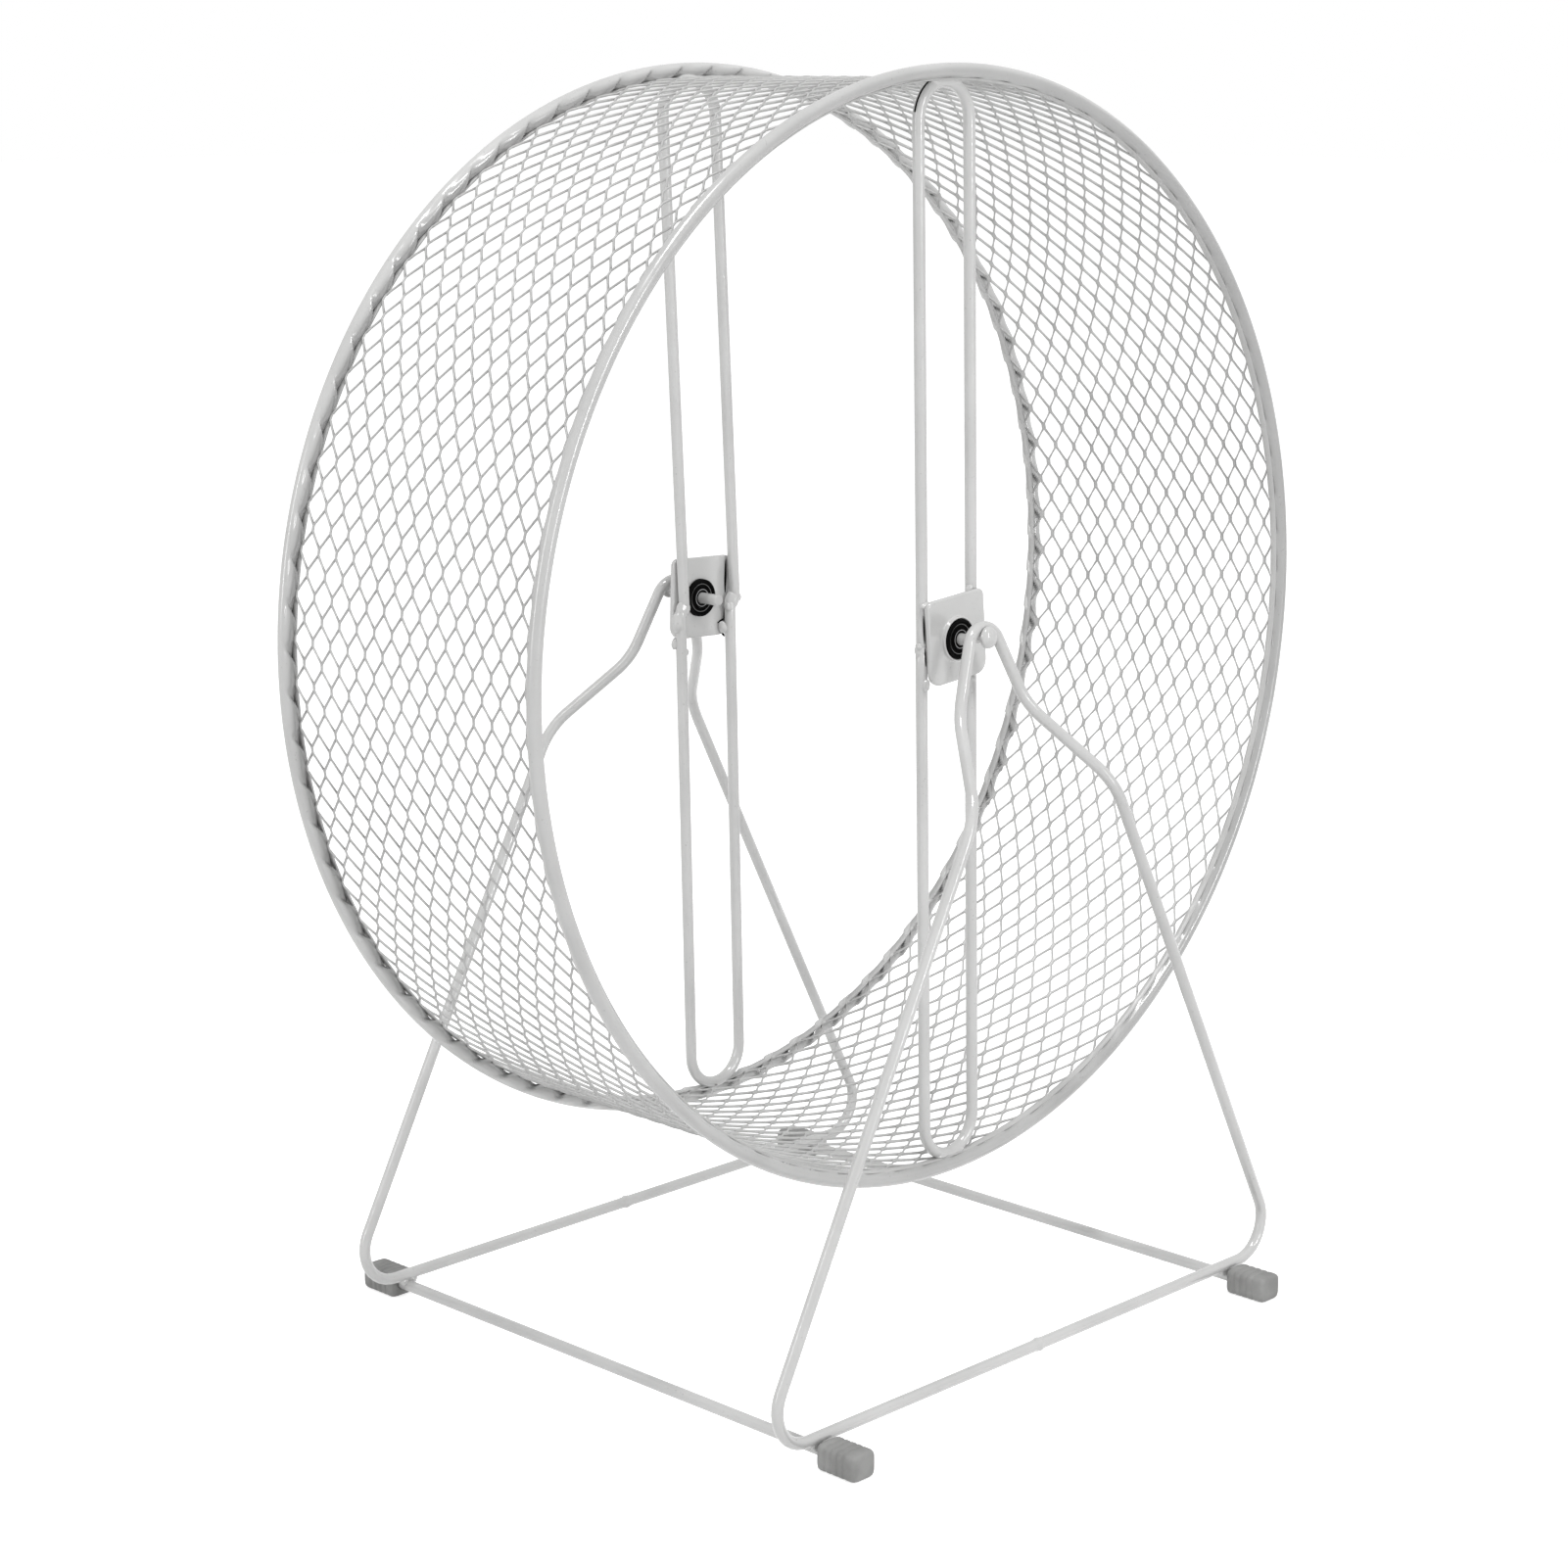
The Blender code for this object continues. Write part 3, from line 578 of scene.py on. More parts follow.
# %% One cell of the sheet
CELLS_ROUND = 80
HALF_ROWS = 27
HEM_WIDTH = 1.4
BOND_HALF_LENGTH = 0.72
BOND_STRAND = 0.42
RISING_STRAND, FALLING_STRAND = 0.38, 0.46
HOLE_TIP = 0.25
STRAND_SLOPE = 0.65
SHEET_THICKNESS = 0.52

cell_pitch = 2 * math.pi * SHEET_RADIUS / CELLS_ROUND
row_height = (2 * RIM_PLANE - 2 * HEM_WIDTH) / HALF_ROWS
mesh_reach = row_height * HALF_ROWS / 2
half_pitch = cell_pitch / 2
tip = BOND_HALF_LENGTH - half_pitch
border_quarter = [
    (tip, 0, 0),
    ((tip - BOND_HALF_LENGTH) / 2, row_height / 2, 0),
    (-BOND_HALF_LENGTH, row_height, 0),
    (0, row_height, 0),
]


def whole_ring(left, right):
    """A ring of (round, across, raise) points from its two upper quarters.

    Both quarters run from a tip to the top, as drawn on the left. The lower half
    is the upper one turned half round, and it lies low where that is raised.
    """
    left, right = np.asarray(left, float), np.asarray(right, float)
    upper = np.vstack([left, right[-2::-1] * (-1, 1, 1)])
    return np.vstack([upper, -upper[1:-1]])


def hole_quarter(strand):
    """A quarter of the hole beside a strand of this width, raised along its slope."""
    drawn_in = [0.0, strand / 2, BOND_STRAND, BOND_STRAND]
    return [(tip + HOLE_TIP if index == 0 else s, t - inward, STRAND_SLOPE * inward)
            for index, ((s, t, _), inward) in enumerate(zip(border_quarter, drawn_in))]


cell_border = whole_ring(border_quarter, border_quarter)
cell_hole = whole_ring(hole_quarter(RISING_STRAND), hole_quarter(FALLING_STRAND))
print("cell pitch:", round(cell_pitch, 2), "row height:", round(row_height, 2))
print("points round a cell:", len(cell_border))

# %% [markdown]
# The flat sheet becomes a drum when the way round it is taken as an arc, so that
# the angle is length over radius. The sheet is not perfect: its rows drift a
# little across the drum, and slow waves shift the strands, which the eye takes
# as metal.

# %% Roll the sheet
SHEET_PHASE = 0.865 * 2 * math.pi / CELLS_ROUND
ROW_SHIFT = -1.50
ROW_DRIFT = -0.65
ROUND_SHIFT = -0.18
ROUND_WAVES = [(2, -0.74), (3, -0.55)]
RIPPLE_WAVES, RIPPLE_LENGTH, RIPPLE_HEIGHT = 7, 17.0, 0.07


def rolled(points):
    """Roll (round, across, raise) into a drum: angle = round / radius from the top.

    Between the hems, across is shifted by a drift that follows sin(angle), and
    round by a sum of slow waves: height x sin(number x angle).
    """
    s, t, raised = np.asarray(points, float).reshape(-1, 3).T
    angle = s / SHEET_RADIUS + SHEET_PHASE
    inside = 1 - np.clip(np.abs(t) / mesh_reach, 0, 1) ** 4
    wave = ROUND_SHIFT + RIPPLE_HEIGHT * np.sin(RIPPLE_WAVES * angle + t / RIPPLE_LENGTH)
    wave = wave + sum(height * np.sin(number * angle) for number, height in ROUND_WAVES)
    t = t + (ROW_SHIFT + ROW_DRIFT * np.sin(angle)) * inside
    radius = SHEET_RADIUS + raised
    angle = angle + wave * inside / SHEET_RADIUS
    return turned_to_rest(np.stack([radius * np.sin(angle), t, radius * np.cos(angle)], axis=1))


print("middle of the sheet at the top:", rolled([(0, 0, 0)]).round(2))

# %% [markdown]
# Cells stand in staggered rows. One sum of all centres and the one cell gives all
# their points at once. At the two hems the press cuts half cells, so points that
# would lie beyond the edge line are held at it.

# %% All the cells
def sheet_cells():
    """All cells: column c and row k stand at ((c + (k odd) / 2) pitch, k height)."""
    column, row = np.meshgrid(np.arange(CELLS_ROUND), np.arange(HALF_ROWS + 1), indexing="ij")
    column, row = column.ravel(), row.ravel()
    centres = np.stack([(column + (row % 2) / 2) * cell_pitch, row * row_height - mesh_reach,
                        np.zeros(len(row))], axis=1)
    rings = np.stack([cell_border, cell_hole])
    points = centres[:, None, None, :] + rings[None]
    inset = np.array([0.0, BOND_STRAND])[None, :, None]
    bottom = np.where(row == 0, 0.0, -np.inf)[:, None, None] + inset - mesh_reach
    top = np.where(row == HALF_ROWS, 0.0, np.inf)[:, None, None] - inset + mesh_reach
    held = np.clip(points[..., 1], bottom, top)
    points[..., 2] = np.where(held == points[..., 1], points[..., 2], 0.0)
    points[..., 1] = held
    corners = len(cell_border)
    ring_faces = grid_faces(2, corners, close_columns=True)
    faces = ring_faces[None] + (np.arange(len(row)) * 2 * corners)[:, None, None]
    return points.reshape(-1, 3), faces.reshape(-1, 4)


print("cells:", CELLS_ROUND * (HALF_ROWS + 1))

# %% [markdown]
# On each side a plain strip runs from the last row out to the hoop. Cells and
# strips are one skin, as they are in the real sheet, and a Solidify modifier
# gives it its thickness, half to either side.

# %% Hems and the finished mesh
def sheet_hem(edge, line, row):
    """A plain strip from the mesh out to the sheet's edge, with the cells' own points."""
    upper = cell_border[cell_border[:, 1] >= 0][:, 0]
    steps = np.concatenate([upper, [half_pitch - BOND_HALF_LENGTH, half_pitch]])
    steps = np.unique(np.round(steps, 6)) + (row % 2) * half_pitch
    s = (np.arange(CELLS_ROUND)[:, None] * cell_pitch + steps[None]).ravel()
    strip = np.stack([np.stack([s, np.full_like(s, t), np.zeros_like(s)], -1) for t in (line, edge)])
    return strip.reshape(-1, 3), grid_faces(2, len(s), close_columns=True)


shells = [
    sheet_cells(),
    sheet_hem(-RIM_PLANE, -mesh_reach, 0),
    sheet_hem(RIM_PLANE, mesh_reach, HALF_ROWS),
]
running_mesh = make_piece(
    "running_mesh",
    [(rolled(points), faces) for points, faces in shells],
    "wheel", mesh_paint, ["mesh_band"],
)
thickness = running_mesh.modifiers.new("thickness", "SOLIDIFY")
thickness.thickness = SHEET_THICKNESS * MM
thickness.offset = 0.0
thickness.use_even_offset = False

# %% [markdown]
# ## The rims
# Each edge of the sheet is rolled over a hoop of wire. From outside the hoop is
# a smooth tube; on the mesh side and inside, the turned-over strands lie across
# it like the lay of a rope, one leaf to each cell. So the tube's radius grows
# over each cell and drops back in a short slanting step, and this pattern fades
# out before it reaches the outside of the tube. Rises and falls are smooth
# steps, and all limits along a leaf are shares of it, those round the tube degrees.

# %% Limits of the leaves
COLUMNS_PER_LEAF = 20
HOOP_SIDES = 32
RIM_SHARP_ANGLE = 70.0
LEAF_HEIGHT = {"front": 0.60, "rear": 1.05}
LEAF_BASE = {"front": 0.05, "rear": -0.15}
LEAF_LAY = 0.276
LEAF_START = {"front": 1.19, "rear": -0.04}
LEAF_RISE, LEAF_FALL = (0.0, 0.80), (0.86, 0.97)
WINDOW_START = (45, 75)
WINDOW_END = {"front": (160, 200), "rear": (185, 228)}
STEP_START, STEP_END = (0.84, 0.91), (0.97, 1.0)
SEAM_START, SEAM_END = (60, 105), (135, 165)
# Painted shade on the rims: a painted shadow along each leaf's step, strongest at the mesh seam, and a
# painted darker side that grows round the wheel.
STEP_SHADOW, SEAM_SHADOW = 0.15, 0.75
PAINTED_DARK_SIDE = {
    "front": {"all round": 0.11, "least": 0.0, "growth": 0.25, "start": (100, 140), "end": (270, 310)},
    "rear": {"all round": 0.0, "least": 0.10, "growth": 0.34, "start": (50, 120), "end": (125, 150)},
}


def smooth_step(value, low, high):
    """0 below low, 1 above high, and 3 x^2 - 2 x^3 between."""
    x = np.clip((value - low) / (high - low), 0, 1)
    return x * x * (3 - 2 * x)


def hump(value, start, end):
    """Rise from 0 to 1 between the two limits of start, and fall again between those of end."""
    return smooth_step(value, *start) * (1 - smooth_step(value, *end))


print("leaves on each rim:", CELLS_ROUND, "highest part of a leaf:", LEAF_RISE[1], "to", LEAF_FALL[0])

# %% [markdown]
# A rim is then one closed grid: p counts the leaves round the wheel, and q runs
# round the tube. Humps along p and q shape the leaves, and others tell the paint
# how much painted shade each point gets, because that follows the same leaves.

# %% Rolled rims
def rolled_rim(side):
    """A ring whose section radius is r + window(q) x (base + height x leaf(p, q)).

    q = 0 is the outside of the ring, 90 degrees the mesh side, 180 its inside.
    A leaf rises slowly along the ring and ends in a short steep step, and the
    line of that step slants round the section. The value of painted shade is high
    along the step, as a painted shadow under it, and raised by
    (0.5 - 0.5 side sin p) as a painted darker side: on the mesh side of the rear
    rim, and on the inside of the front one.
    """
    p = np.arange(CELLS_ROUND * COLUMNS_PER_LEAF)[:, None] / COLUMNS_PER_LEAF
    q = np.arange(HOOP_SIDES)[None, :] * 2 * math.pi / HOOP_SIDES
    x = (SIDES[side] * p + LEAF_LAY * q + LEAF_START[side]) % 1.0
    leaf = hump(x, LEAF_RISE, LEAF_FALL)
    q_turned = np.degrees(q)
    window = hump(q_turned, WINDOW_START, WINDOW_END[side])
    radius = HOOP_THICKNESS / 2 + window * (LEAF_BASE[side] + LEAF_HEIGHT[side] * leaf)
    angle = 2 * math.pi * p / CELLS_ROUND
    ring = HOOP_RADIUS + radius * np.cos(q)
    out = RIM_PLANE - radius * np.sin(q)
    points = np.stack([ring * np.sin(angle), SIDES[side] * out, ring * np.cos(angle)], -1)
    faces = grid_faces(len(p), HOOP_SIDES, close_rows=True, close_columns=True)
    # Painted shade: a painted shadow along the steps and a painted darker side.
    step = hump(x, STEP_START, STEP_END)
    seam = hump(q_turned, SEAM_START, SEAM_END)
    dark_side = PAINTED_DARK_SIDE[side]
    darkening = dark_side["least"] + dark_side["growth"] * (0.5 - 0.5 * SIDES[side] * np.sin(angle))
    side_shade = dark_side["all round"] + darkening * hump(q_turned, dark_side["start"], dark_side["end"])
    painted_shade = np.maximum(step * window * (STEP_SHADOW + SEAM_SHADOW * seam), side_shade)
    return turned_to_rest(points), faces, painted_shade.ravel()


for side in SIDES:
    points, faces, painted_shade = rolled_rim(side)
    make_piece(side + "_rolled_rim", [(points, faces)], "wheel", shaded_rim_paint,
               [side + "_rim_hoop"], sharp=RIM_SHARP_ANGLE, painted_shade=painted_shade)

# %% [markdown]
# ## The struts
# Four hairpins of wire carry the hub. Each is two straight rods and a half turn
# that is welded under the rim. The upper and the lower one meet behind the hub
# plate with a small step between them, because they were set by hand. The rear
# upper one leans a little, and both lower ones sit a quarter of a millimetre off.

# %% Hairpin struts
OUTWARD = (0, 0, 1)
BEND_STEPS = 12
STRUT_SPACING = 9.2
STRUT_JOINT, STRUT_JOINT_GAP = -2.0, 0.15
STRUT_REACH = 135.6
STRUT_OUT = -1.5
STRUT_BEND = STRUT_SPACING - 0.01
STRUT_FACE_LENGTH = 6.0
LEAN_SHIFT, LEAN_SLOPE, LEAN_SPREAD = -1.6, 0.027, -0.22
LOWER_SHIFT = -0.25


def strut_shift(side, direction, across, up):
    """How far a strut lies to one side: straight, but not quite true to the wheel.

    The leaning one is shifted by shift + slope up + spread (1 - across / spacing).
    """
    if side == "rear" and direction > 0:
        return LEAN_SHIFT + LEAN_SLOPE * up + LEAN_SPREAD * (1 - across / STRUT_SPACING)
    return np.full_like(up, LOWER_SHIFT if direction < 0 else 0.0)


def strut(side, direction):
    """Two rods and the half turn that joins them, as one path."""
    joint = STRUT_JOINT + direction * STRUT_JOINT_GAP
    reach = direction * STRUT_REACH
    corners = [(-STRUT_SPACING, joint, STRUT_OUT), (-STRUT_SPACING, reach, STRUT_OUT),
               (STRUT_SPACING, reach, STRUT_OUT), (STRUT_SPACING, joint, STRUT_OUT)]
    path = rounded_path(corners, [0, STRUT_BEND, STRUT_BEND, 0], BEND_STEPS)
    path = divided(path, STRUT_FACE_LENGTH)
    path[:, 0] += strut_shift(side, direction, path[:, 0], path[:, 1])
    points, faces = tube(path, WIRE_RADIUS, OUTWARD)
    return on_side(points, side, True), faces


for side in SIDES:
    for name, direction in (("upper", 1), ("lower", -1)):
        node = side + "_" + name + "_strut"
        make_piece(side + "_" + name + "_hairpin", [strut(side, direction)], "wheel",
                   white_paint, [node])

# %% [markdown]
# ## The hub plates
# A square of sheet steel is welded over the rods, out of square by a few
# degrees, and a collar is pressed up round the bearing. Plate and collar are one
# skin: its loops start as circles at the bearing and end as the plate's outline,
# so the round and the square shapes run into each other without a seam.

# %% Outline of the plate
PLATE_SIZE = (20.9, 21.6)
PLATE_BACK, PLATE_FRONT = 0.3, 1.8
PLATE_TOP_RADIUS, PLATE_BOTTOM_RADIUS = 1.8, 3.6
PLATE_OFF_CENTRE = {"front": 0.6, "rear": -0.7}
PLATE_TURN = math.radians(3.5)
PLATE_CORNER_STEPS, PLATE_SIDE_STEPS = 8, 12
CORNER_DRAW_IN = 0.8


def plate_outline(side, inset):
    """The plate's rounded outline, drawn in by inset, with evenly split sides."""
    w, h = PLATE_SIZE[0] / 2 - inset, PLATE_SIZE[1] / 2 - inset
    corners = [(w, -h, 0), (w, h, 0), (-w, h, 0), (-w, -h, 0)]
    radii = [PLATE_BOTTOM_RADIUS, PLATE_TOP_RADIUS, PLATE_TOP_RADIUS, PLATE_BOTTOM_RADIUS]
    arcs = rounded_path(corners, [radius - CORNER_DRAW_IN * inset for radius in radii], PLATE_CORNER_STEPS)
    arcs = arcs.reshape(4, PLATE_CORNER_STEPS + 1, 3)
    sides = [np.linspace(arcs[k, -1], arcs[(k + 1) % 4, 0], PLATE_SIDE_STEPS + 1)[1:-1] for k in range(4)]
    outline = np.concatenate([part for pair in zip(arcs, sides) for part in pair])[:, :2]
    return outline + (PLATE_OFF_CENTRE[side], 0)


print("points of the outline:", len(plate_outline("front", 0.0)))

# %% [markdown]
# The loops start in the hole, go over the collar and out across the flat face,
# then round the edge to the back, where the last one joins the first. Each is a
# row of a table. The pressing left the face a little uneven, and very shallow
# dents give its highlight the same life.

# %% Plate and collar
PLATE_SHARP_ANGLE = 50.0
HOLE_RADIUS = 5.1
COLLAR_FOOT_RADIUS = 6.3
FLAT_INSET = 0.55
DENT_DEPTH, DENT_ACROSS, DENT_START, DENT_UP = 0.05, 0.55, 1.0, 0.42
COLLAR_LOOPS = [(HOLE_RADIUS, PLATE_BACK), (HOLE_RADIUS, 2.65), (5.16, 2.84), (5.32, 2.92), (5.48, 2.84),
                (5.58, 2.62), (5.62, 2.25), (5.72, 1.98), (5.95, 1.86), (COLLAR_FOOT_RADIUS, 1.82)]
FLAT_SHARES = [0.3, 0.62, 0.85]
EDGE_LOOPS = [(FLAT_INSET, PLATE_FRONT), (0.30, 1.76), (0.10, 1.62), (0.0, 1.40), (0.0, 0.70),
              (0.12, 0.42), (0.40, PLATE_BACK)]


def hub_plate(side):
    """Loops from the hole over the collar and the flat face to the back.

    A loop is (1 - share) x circle + share x outline: share 0 makes the collar, a
    share between makes the flat face, and share 1 the edge. The flat face has
    shallow dents, depth x sin(across) x cos(up).
    """
    loops = [(0, radius, FLAT_INSET, out) for radius, out in COLLAR_LOOPS]
    loops += [(share, COLLAR_FOOT_RADIUS, FLAT_INSET, PLATE_FRONT) for share in FLAT_SHARES]
    loops += [(1, 0.0, inset, out) for inset, out in EDGE_LOOPS]
    outer = plate_outline(side, 0.0)
    angle = np.arctan2(outer[:, 1], outer[:, 0])
    circle = np.stack([np.cos(angle), np.sin(angle)], -1)
    rows = []
    for share, radius, inset, out in loops:
        flat = (1 - share) * radius * circle + share * plate_outline(side, inset)
        across, up = flat.T
        dent = DENT_DEPTH * np.sin(across * DENT_ACROSS + DENT_START) * np.cos(up * DENT_UP)
        rows.append(np.column_stack([flat, out + dent * (share > 0)]))
    points = np.concatenate(rows)
    c, s = math.cos(PLATE_TURN), math.sin(PLATE_TURN)
    points[:, :2] = points[:, :2] @ np.array([[c, s], [-s, c]])
    faces = grid_faces(len(loops), len(outer), close_rows=True, close_columns=True)
    return on_side(points, side, True), faces


for side in SIDES:
    make_piece(side + "_collared_plate", [hub_plate(side)], "wheel", white_paint,
               [side + "_hub_plate"], sharp=PLATE_SHARP_ANGLE)

# %% [markdown]
# ## The bearings
# A bearing of 3 by 10 by 4 mm sits in each plate. Its outer ring turns with the
# wheel, its inner ring stays with the pin, and a rubber seal hides the balls on
# each face. All of it is lathe work, so each ring is a small profile, turned.

# %% Rings and seals
BEARING_MIDDLE = 1.3
SEAL_PLANE = 1.62
OUTER_EDGE, INNER_EDGE, GROOVE_EDGE, LIP_EDGE = 0.16, 0.14, 0.05, 0.03

outer_ring = [(5.0, 2.0), (5.0, -2.0), (4.30, -2.0), (4.30, -1.5), (4.10, -1.5), (4.10, -0.84),
              (4.35, -0.4), (4.35, 0.4), (4.10, 0.84), (4.10, 1.5), (4.30, 1.5), (4.30, 2.0)]
inner_ring = [(2.647, 2.0), (2.647, 0.84), (2.36, 0.4), (2.36, -0.4), (2.647, -0.84), (2.647, -2.0),
              (1.6, -2.0), (1.6, 2.0)]
seal = [(4.24, 0.0), (4.24, 0.16), (4.10, 0.34), (3.94, 0.34), (3.82, 0.12), (3.62, 0.06),
        (3.50, 0.24), (3.34, 0.24), (3.22, 0.04), (3.00, 0.04), (2.90, 0.26), (2.76, 0.26), (2.72, 0.0)]


def bearing_shell(side, on_wheel, profile, radii):
    """Turn one ring's profile at the middle of its bearing."""
    path = soft_corners(profile, radii)
    points, faces = turned(path)
    return on_side(points + (0, 0, BEARING_MIDDLE), side, on_wheel), faces


outer_edges = [OUTER_EDGE] * 2 + [GROOVE_EDGE] * 10
inner_edges = [INNER_EDGE] + [GROOVE_EDGE] * 4 + [INNER_EDGE] * 3
seal_edges = [LIP_EDGE] * len(seal)
for side in SIDES:
    make_piece(side + "_outer_ring", [bearing_shell(side, True, outer_ring, outer_edges)], "wheel",
               black_steel, [side + "_bearing_outer_ring"])
    make_piece(side + "_inner_ring", [bearing_shell(side, False, inner_ring, inner_edges)], "stand",
               black_steel, [side + "_bearing_inner_ring"])
    for name, direction in (("outer", 1), ("inner", -1)):
        profile = [(r, direction * (SEAL_PLANE + out)) for r, out in seal]
        make_piece(side + "_" + name + "_seal", [bearing_shell(side, True, profile, seal_edges)],
                   "wheel", black_rubber, [side + "_bearing_" + name + "_seal"])

# %% [markdown]
# Seven balls run between the rings, and the cage that spaces them turns with
# them at about six tenths of the wheel's speed. The solids already hold them as
# pieces of their own. Balls become rounder here; the cage keeps its solid.

# %% Balls and cages
BALL_RADIUS = 0.794
BALL_CIRCLE = 3.25
BALL_COUNT = 7
BALL_ROWS, BALL_STEPS = 17, 32

arc = np.linspace(0, math.pi, BALL_ROWS)
ball_profile = np.stack([BALL_RADIUS * np.sin(arc), BALL_RADIUS * np.cos(arc)], axis=1)
ball, ball_faces = turned(ball_profile, BALL_STEPS, closed=False)
for side in SIDES:
    for index in range(BALL_COUNT):
        turn = 2 * math.pi * index / BALL_COUNT
        centre = (BALL_CIRCLE * math.cos(turn), BALL_CIRCLE * math.sin(turn), BEARING_MIDDLE)
        node = side + "_ball_" + str(index + 1)
        make_piece(node + "_polished", [(on_side(ball + centre, side, False), ball_faces)],
                   side + "_ball_set", bright_steel, [node])
    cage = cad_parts[side + "_bearing_cage"]
    cage.data.materials.clear()
    cage.data.materials.append(bright_steel)

# %% [markdown]
# ## The pins
# Each bearing turns on a pin that is pushed through under the crest of the leg
# frame. Its head is domed, and the paint lies over it in one skin. The weld drew
# the head up by 1.5 mm, so the pin is bent by a smooth step outside the hub.

# %% Axle pins
HEAD_RADIUS = 2.8
HEAD_LIFT = 1.5
LIFT_START, LIFT_END = 4.0, 11.0
DOME_BASE, DOME_HEIGHT, DOME_ROWS = 12.25, 1.65, 13
PIN_STEPS = 48
PIN_FACE_LENGTH = 1.0

dome = [(HEAD_RADIUS * math.sin(a), DOME_BASE + DOME_HEIGHT * math.cos(a))
        for a in np.linspace(0, math.pi / 2, DOME_ROWS)]
shank = [(HEAD_RADIUS, 12.02), (2.68, 11.9), (1.75, 11.9), (1.52, 11.75), (1.5, 11.4), (1.5, -6.85),
         (1.42, -7.05), (1.2, -7.2), (0.0, -7.2)]
for side in SIDES:
    points, faces = turned(divided(dome + shank, PIN_FACE_LENGTH), PIN_STEPS, closed=False)
    points[:, 1] += HEAD_LIFT * smooth_step(points[:, 2], LIFT_START, LIFT_END)
    make_piece(side + "_headed_pin", [(on_side(points, side, False), faces)], "stand",
               white_paint, [side + "_axle_pin"])

# %% [markdown]
# ## The stand
# Each end of the stand is one wire. It goes over the pin, down both legs and
# along the floor, where its ends meet. Two straight runners join the ends, and
# their tips wear rubber caps, which are what touches the floor.

# %% Leg frames and runners
CROSSBAR_UP, CROSSBAR_OUT = -178.2, 31.9
LEG_CORNERS = [(3.9, 3.8, 10.1), (12.7, -16.6, 14.0), (26.6, -36.2, 31.7),
               (101.0, CROSSBAR_UP, CROSSBAR_OUT)]
LEG_RADII = [5.5, 20.0, 20.0, 10.0]
LEG_OUTWARD = (0, 0.0871, 0.9962)
RUNNER_ACROSS = 80.0
RUNNER_HEIGHT = 3.5
RUNNER_REACH = 88.7
BASE_FACE_LENGTH = 8.0


def leg_frame(side):
    """The closed route of one end of the stand, mirrored left and right."""
    left = [(-across, up, out) for across, up, out in reversed(LEG_CORNERS)]
    path = rounded_path(LEG_CORNERS + left, LEG_RADII + LEG_RADII[::-1], BEND_STEPS)
    path = divided(np.vstack([path, path[:1]]), BASE_FACE_LENGTH)
    points, faces = tube(path, WIRE_RADIUS, LEG_OUTWARD)
    return on_side(points, side, False), faces


def runner(direction):
    """A straight wire along the floor."""
    path = divided([(direction * RUNNER_ACROSS, -RUNNER_REACH, RUNNER_HEIGHT),
                    (direction * RUNNER_ACROSS, RUNNER_REACH, RUNNER_HEIGHT)], BASE_FACE_LENGTH)
    return tube(path, WIRE_RADIUS, (0, 0, 1))


for side in SIDES:
    make_piece(side + "_bent_leg_frame", [leg_frame(side)], "stand", white_paint,
               [side + "_leg_frame"])
for name, direction in (("left", -1), ("right", 1)):
    make_piece(name + "_floor_runner", [runner(direction)], "stand", white_paint,
               [name + "_runner"])

# %% [markdown]
# ## The feet
# A foot is a moulded rubber cap: a rounded block with a bore for the runner, and
# shallow grooves across its top and sides to grip it by when it is pushed on. Its
# section is a superellipse, which is a square with soft corners in one formula.
# Both ends are rounded all round, but the grooves leave the flat underside alone.

# %% Rubber caps
FOOT_INNER, FOOT_OUTER = 79.0, 91.0
FOOT_HALF_WIDTH, FOOT_HALF_HEIGHT = 4.0, 3.5
FOOT_SIDES = 64
SQUARENESS = 5.0
BORE_RADIUS, BORE_END = 1.52, 89.0
BORE_LOOPS = [(0.0, BORE_END), (BORE_RADIUS, BORE_END), (BORE_RADIUS, FOOT_INNER + 0.35),
              (BORE_RADIUS + 0.1, FOOT_INNER + 0.12), (BORE_RADIUS + 0.3, FOOT_INNER)]
INNER_END = [(0.0, 0.80), (0.12, 0.90), (0.45, 0.97), (1.0, 1.0)]
OUTER_END = [(-1.4, 1.0), (-0.7, 0.975), (-0.25, 0.92), (-0.05, 0.84), (0.0, 0.72)]
GROOVES = [81.6, 83.6, 85.6, 87.6]
GROOVE = [(-0.55, 1.0), (-0.32, 0.975), (-0.18, 0.94), (0.0, 0.925), (0.18, 0.94), (0.32, 0.975),
          (0.55, 1.0)]


def rubber_cap(across_direction, along_direction):
    """Loops along the runner: section |x/a|^n + |z/b|^n = 1, with n = 5, scaled.

    The loops run through the bore and back over the outside. An outside loop has
    its place along, and its shares of the full section above and below.
    """
    body = [(FOOT_INNER + step, share, share) for step, share in INNER_END]
    body += [(groove + step, share, 1.0) for groove in GROOVES for step, share in GROOVE]
    body += [(FOOT_OUTER + step, share, share) for step, share in OUTER_END]
    q = np.arange(FOOT_SIDES) * 2 * math.pi / FOOT_SIDES
    power = 2 / SQUARENESS
    section_x = np.sign(np.cos(q)) * np.abs(np.cos(q)) ** power * FOOT_HALF_WIDTH
    section_z = np.sign(np.sin(q)) * np.abs(np.sin(q)) ** power * FOOT_HALF_HEIGHT
    loops = [(radius * np.cos(q), radius * np.sin(q), along) for radius, along in BORE_LOOPS]
    loops += [(share * section_x, np.where(section_z < 0, under, share) * section_z, along)
              for along, share, under in body]
    loops.append((0 * q, 0 * q, FOOT_OUTER))
    x, z, y = np.concatenate([np.column_stack([x, z, np.full_like(q, along)]) for x, z, along in loops]).T
    points = np.stack([across_direction * RUNNER_ACROSS + x, along_direction * y, RUNNER_HEIGHT + z], -1)
    return points, grid_faces(len(loops), FOOT_SIDES, close_columns=True)


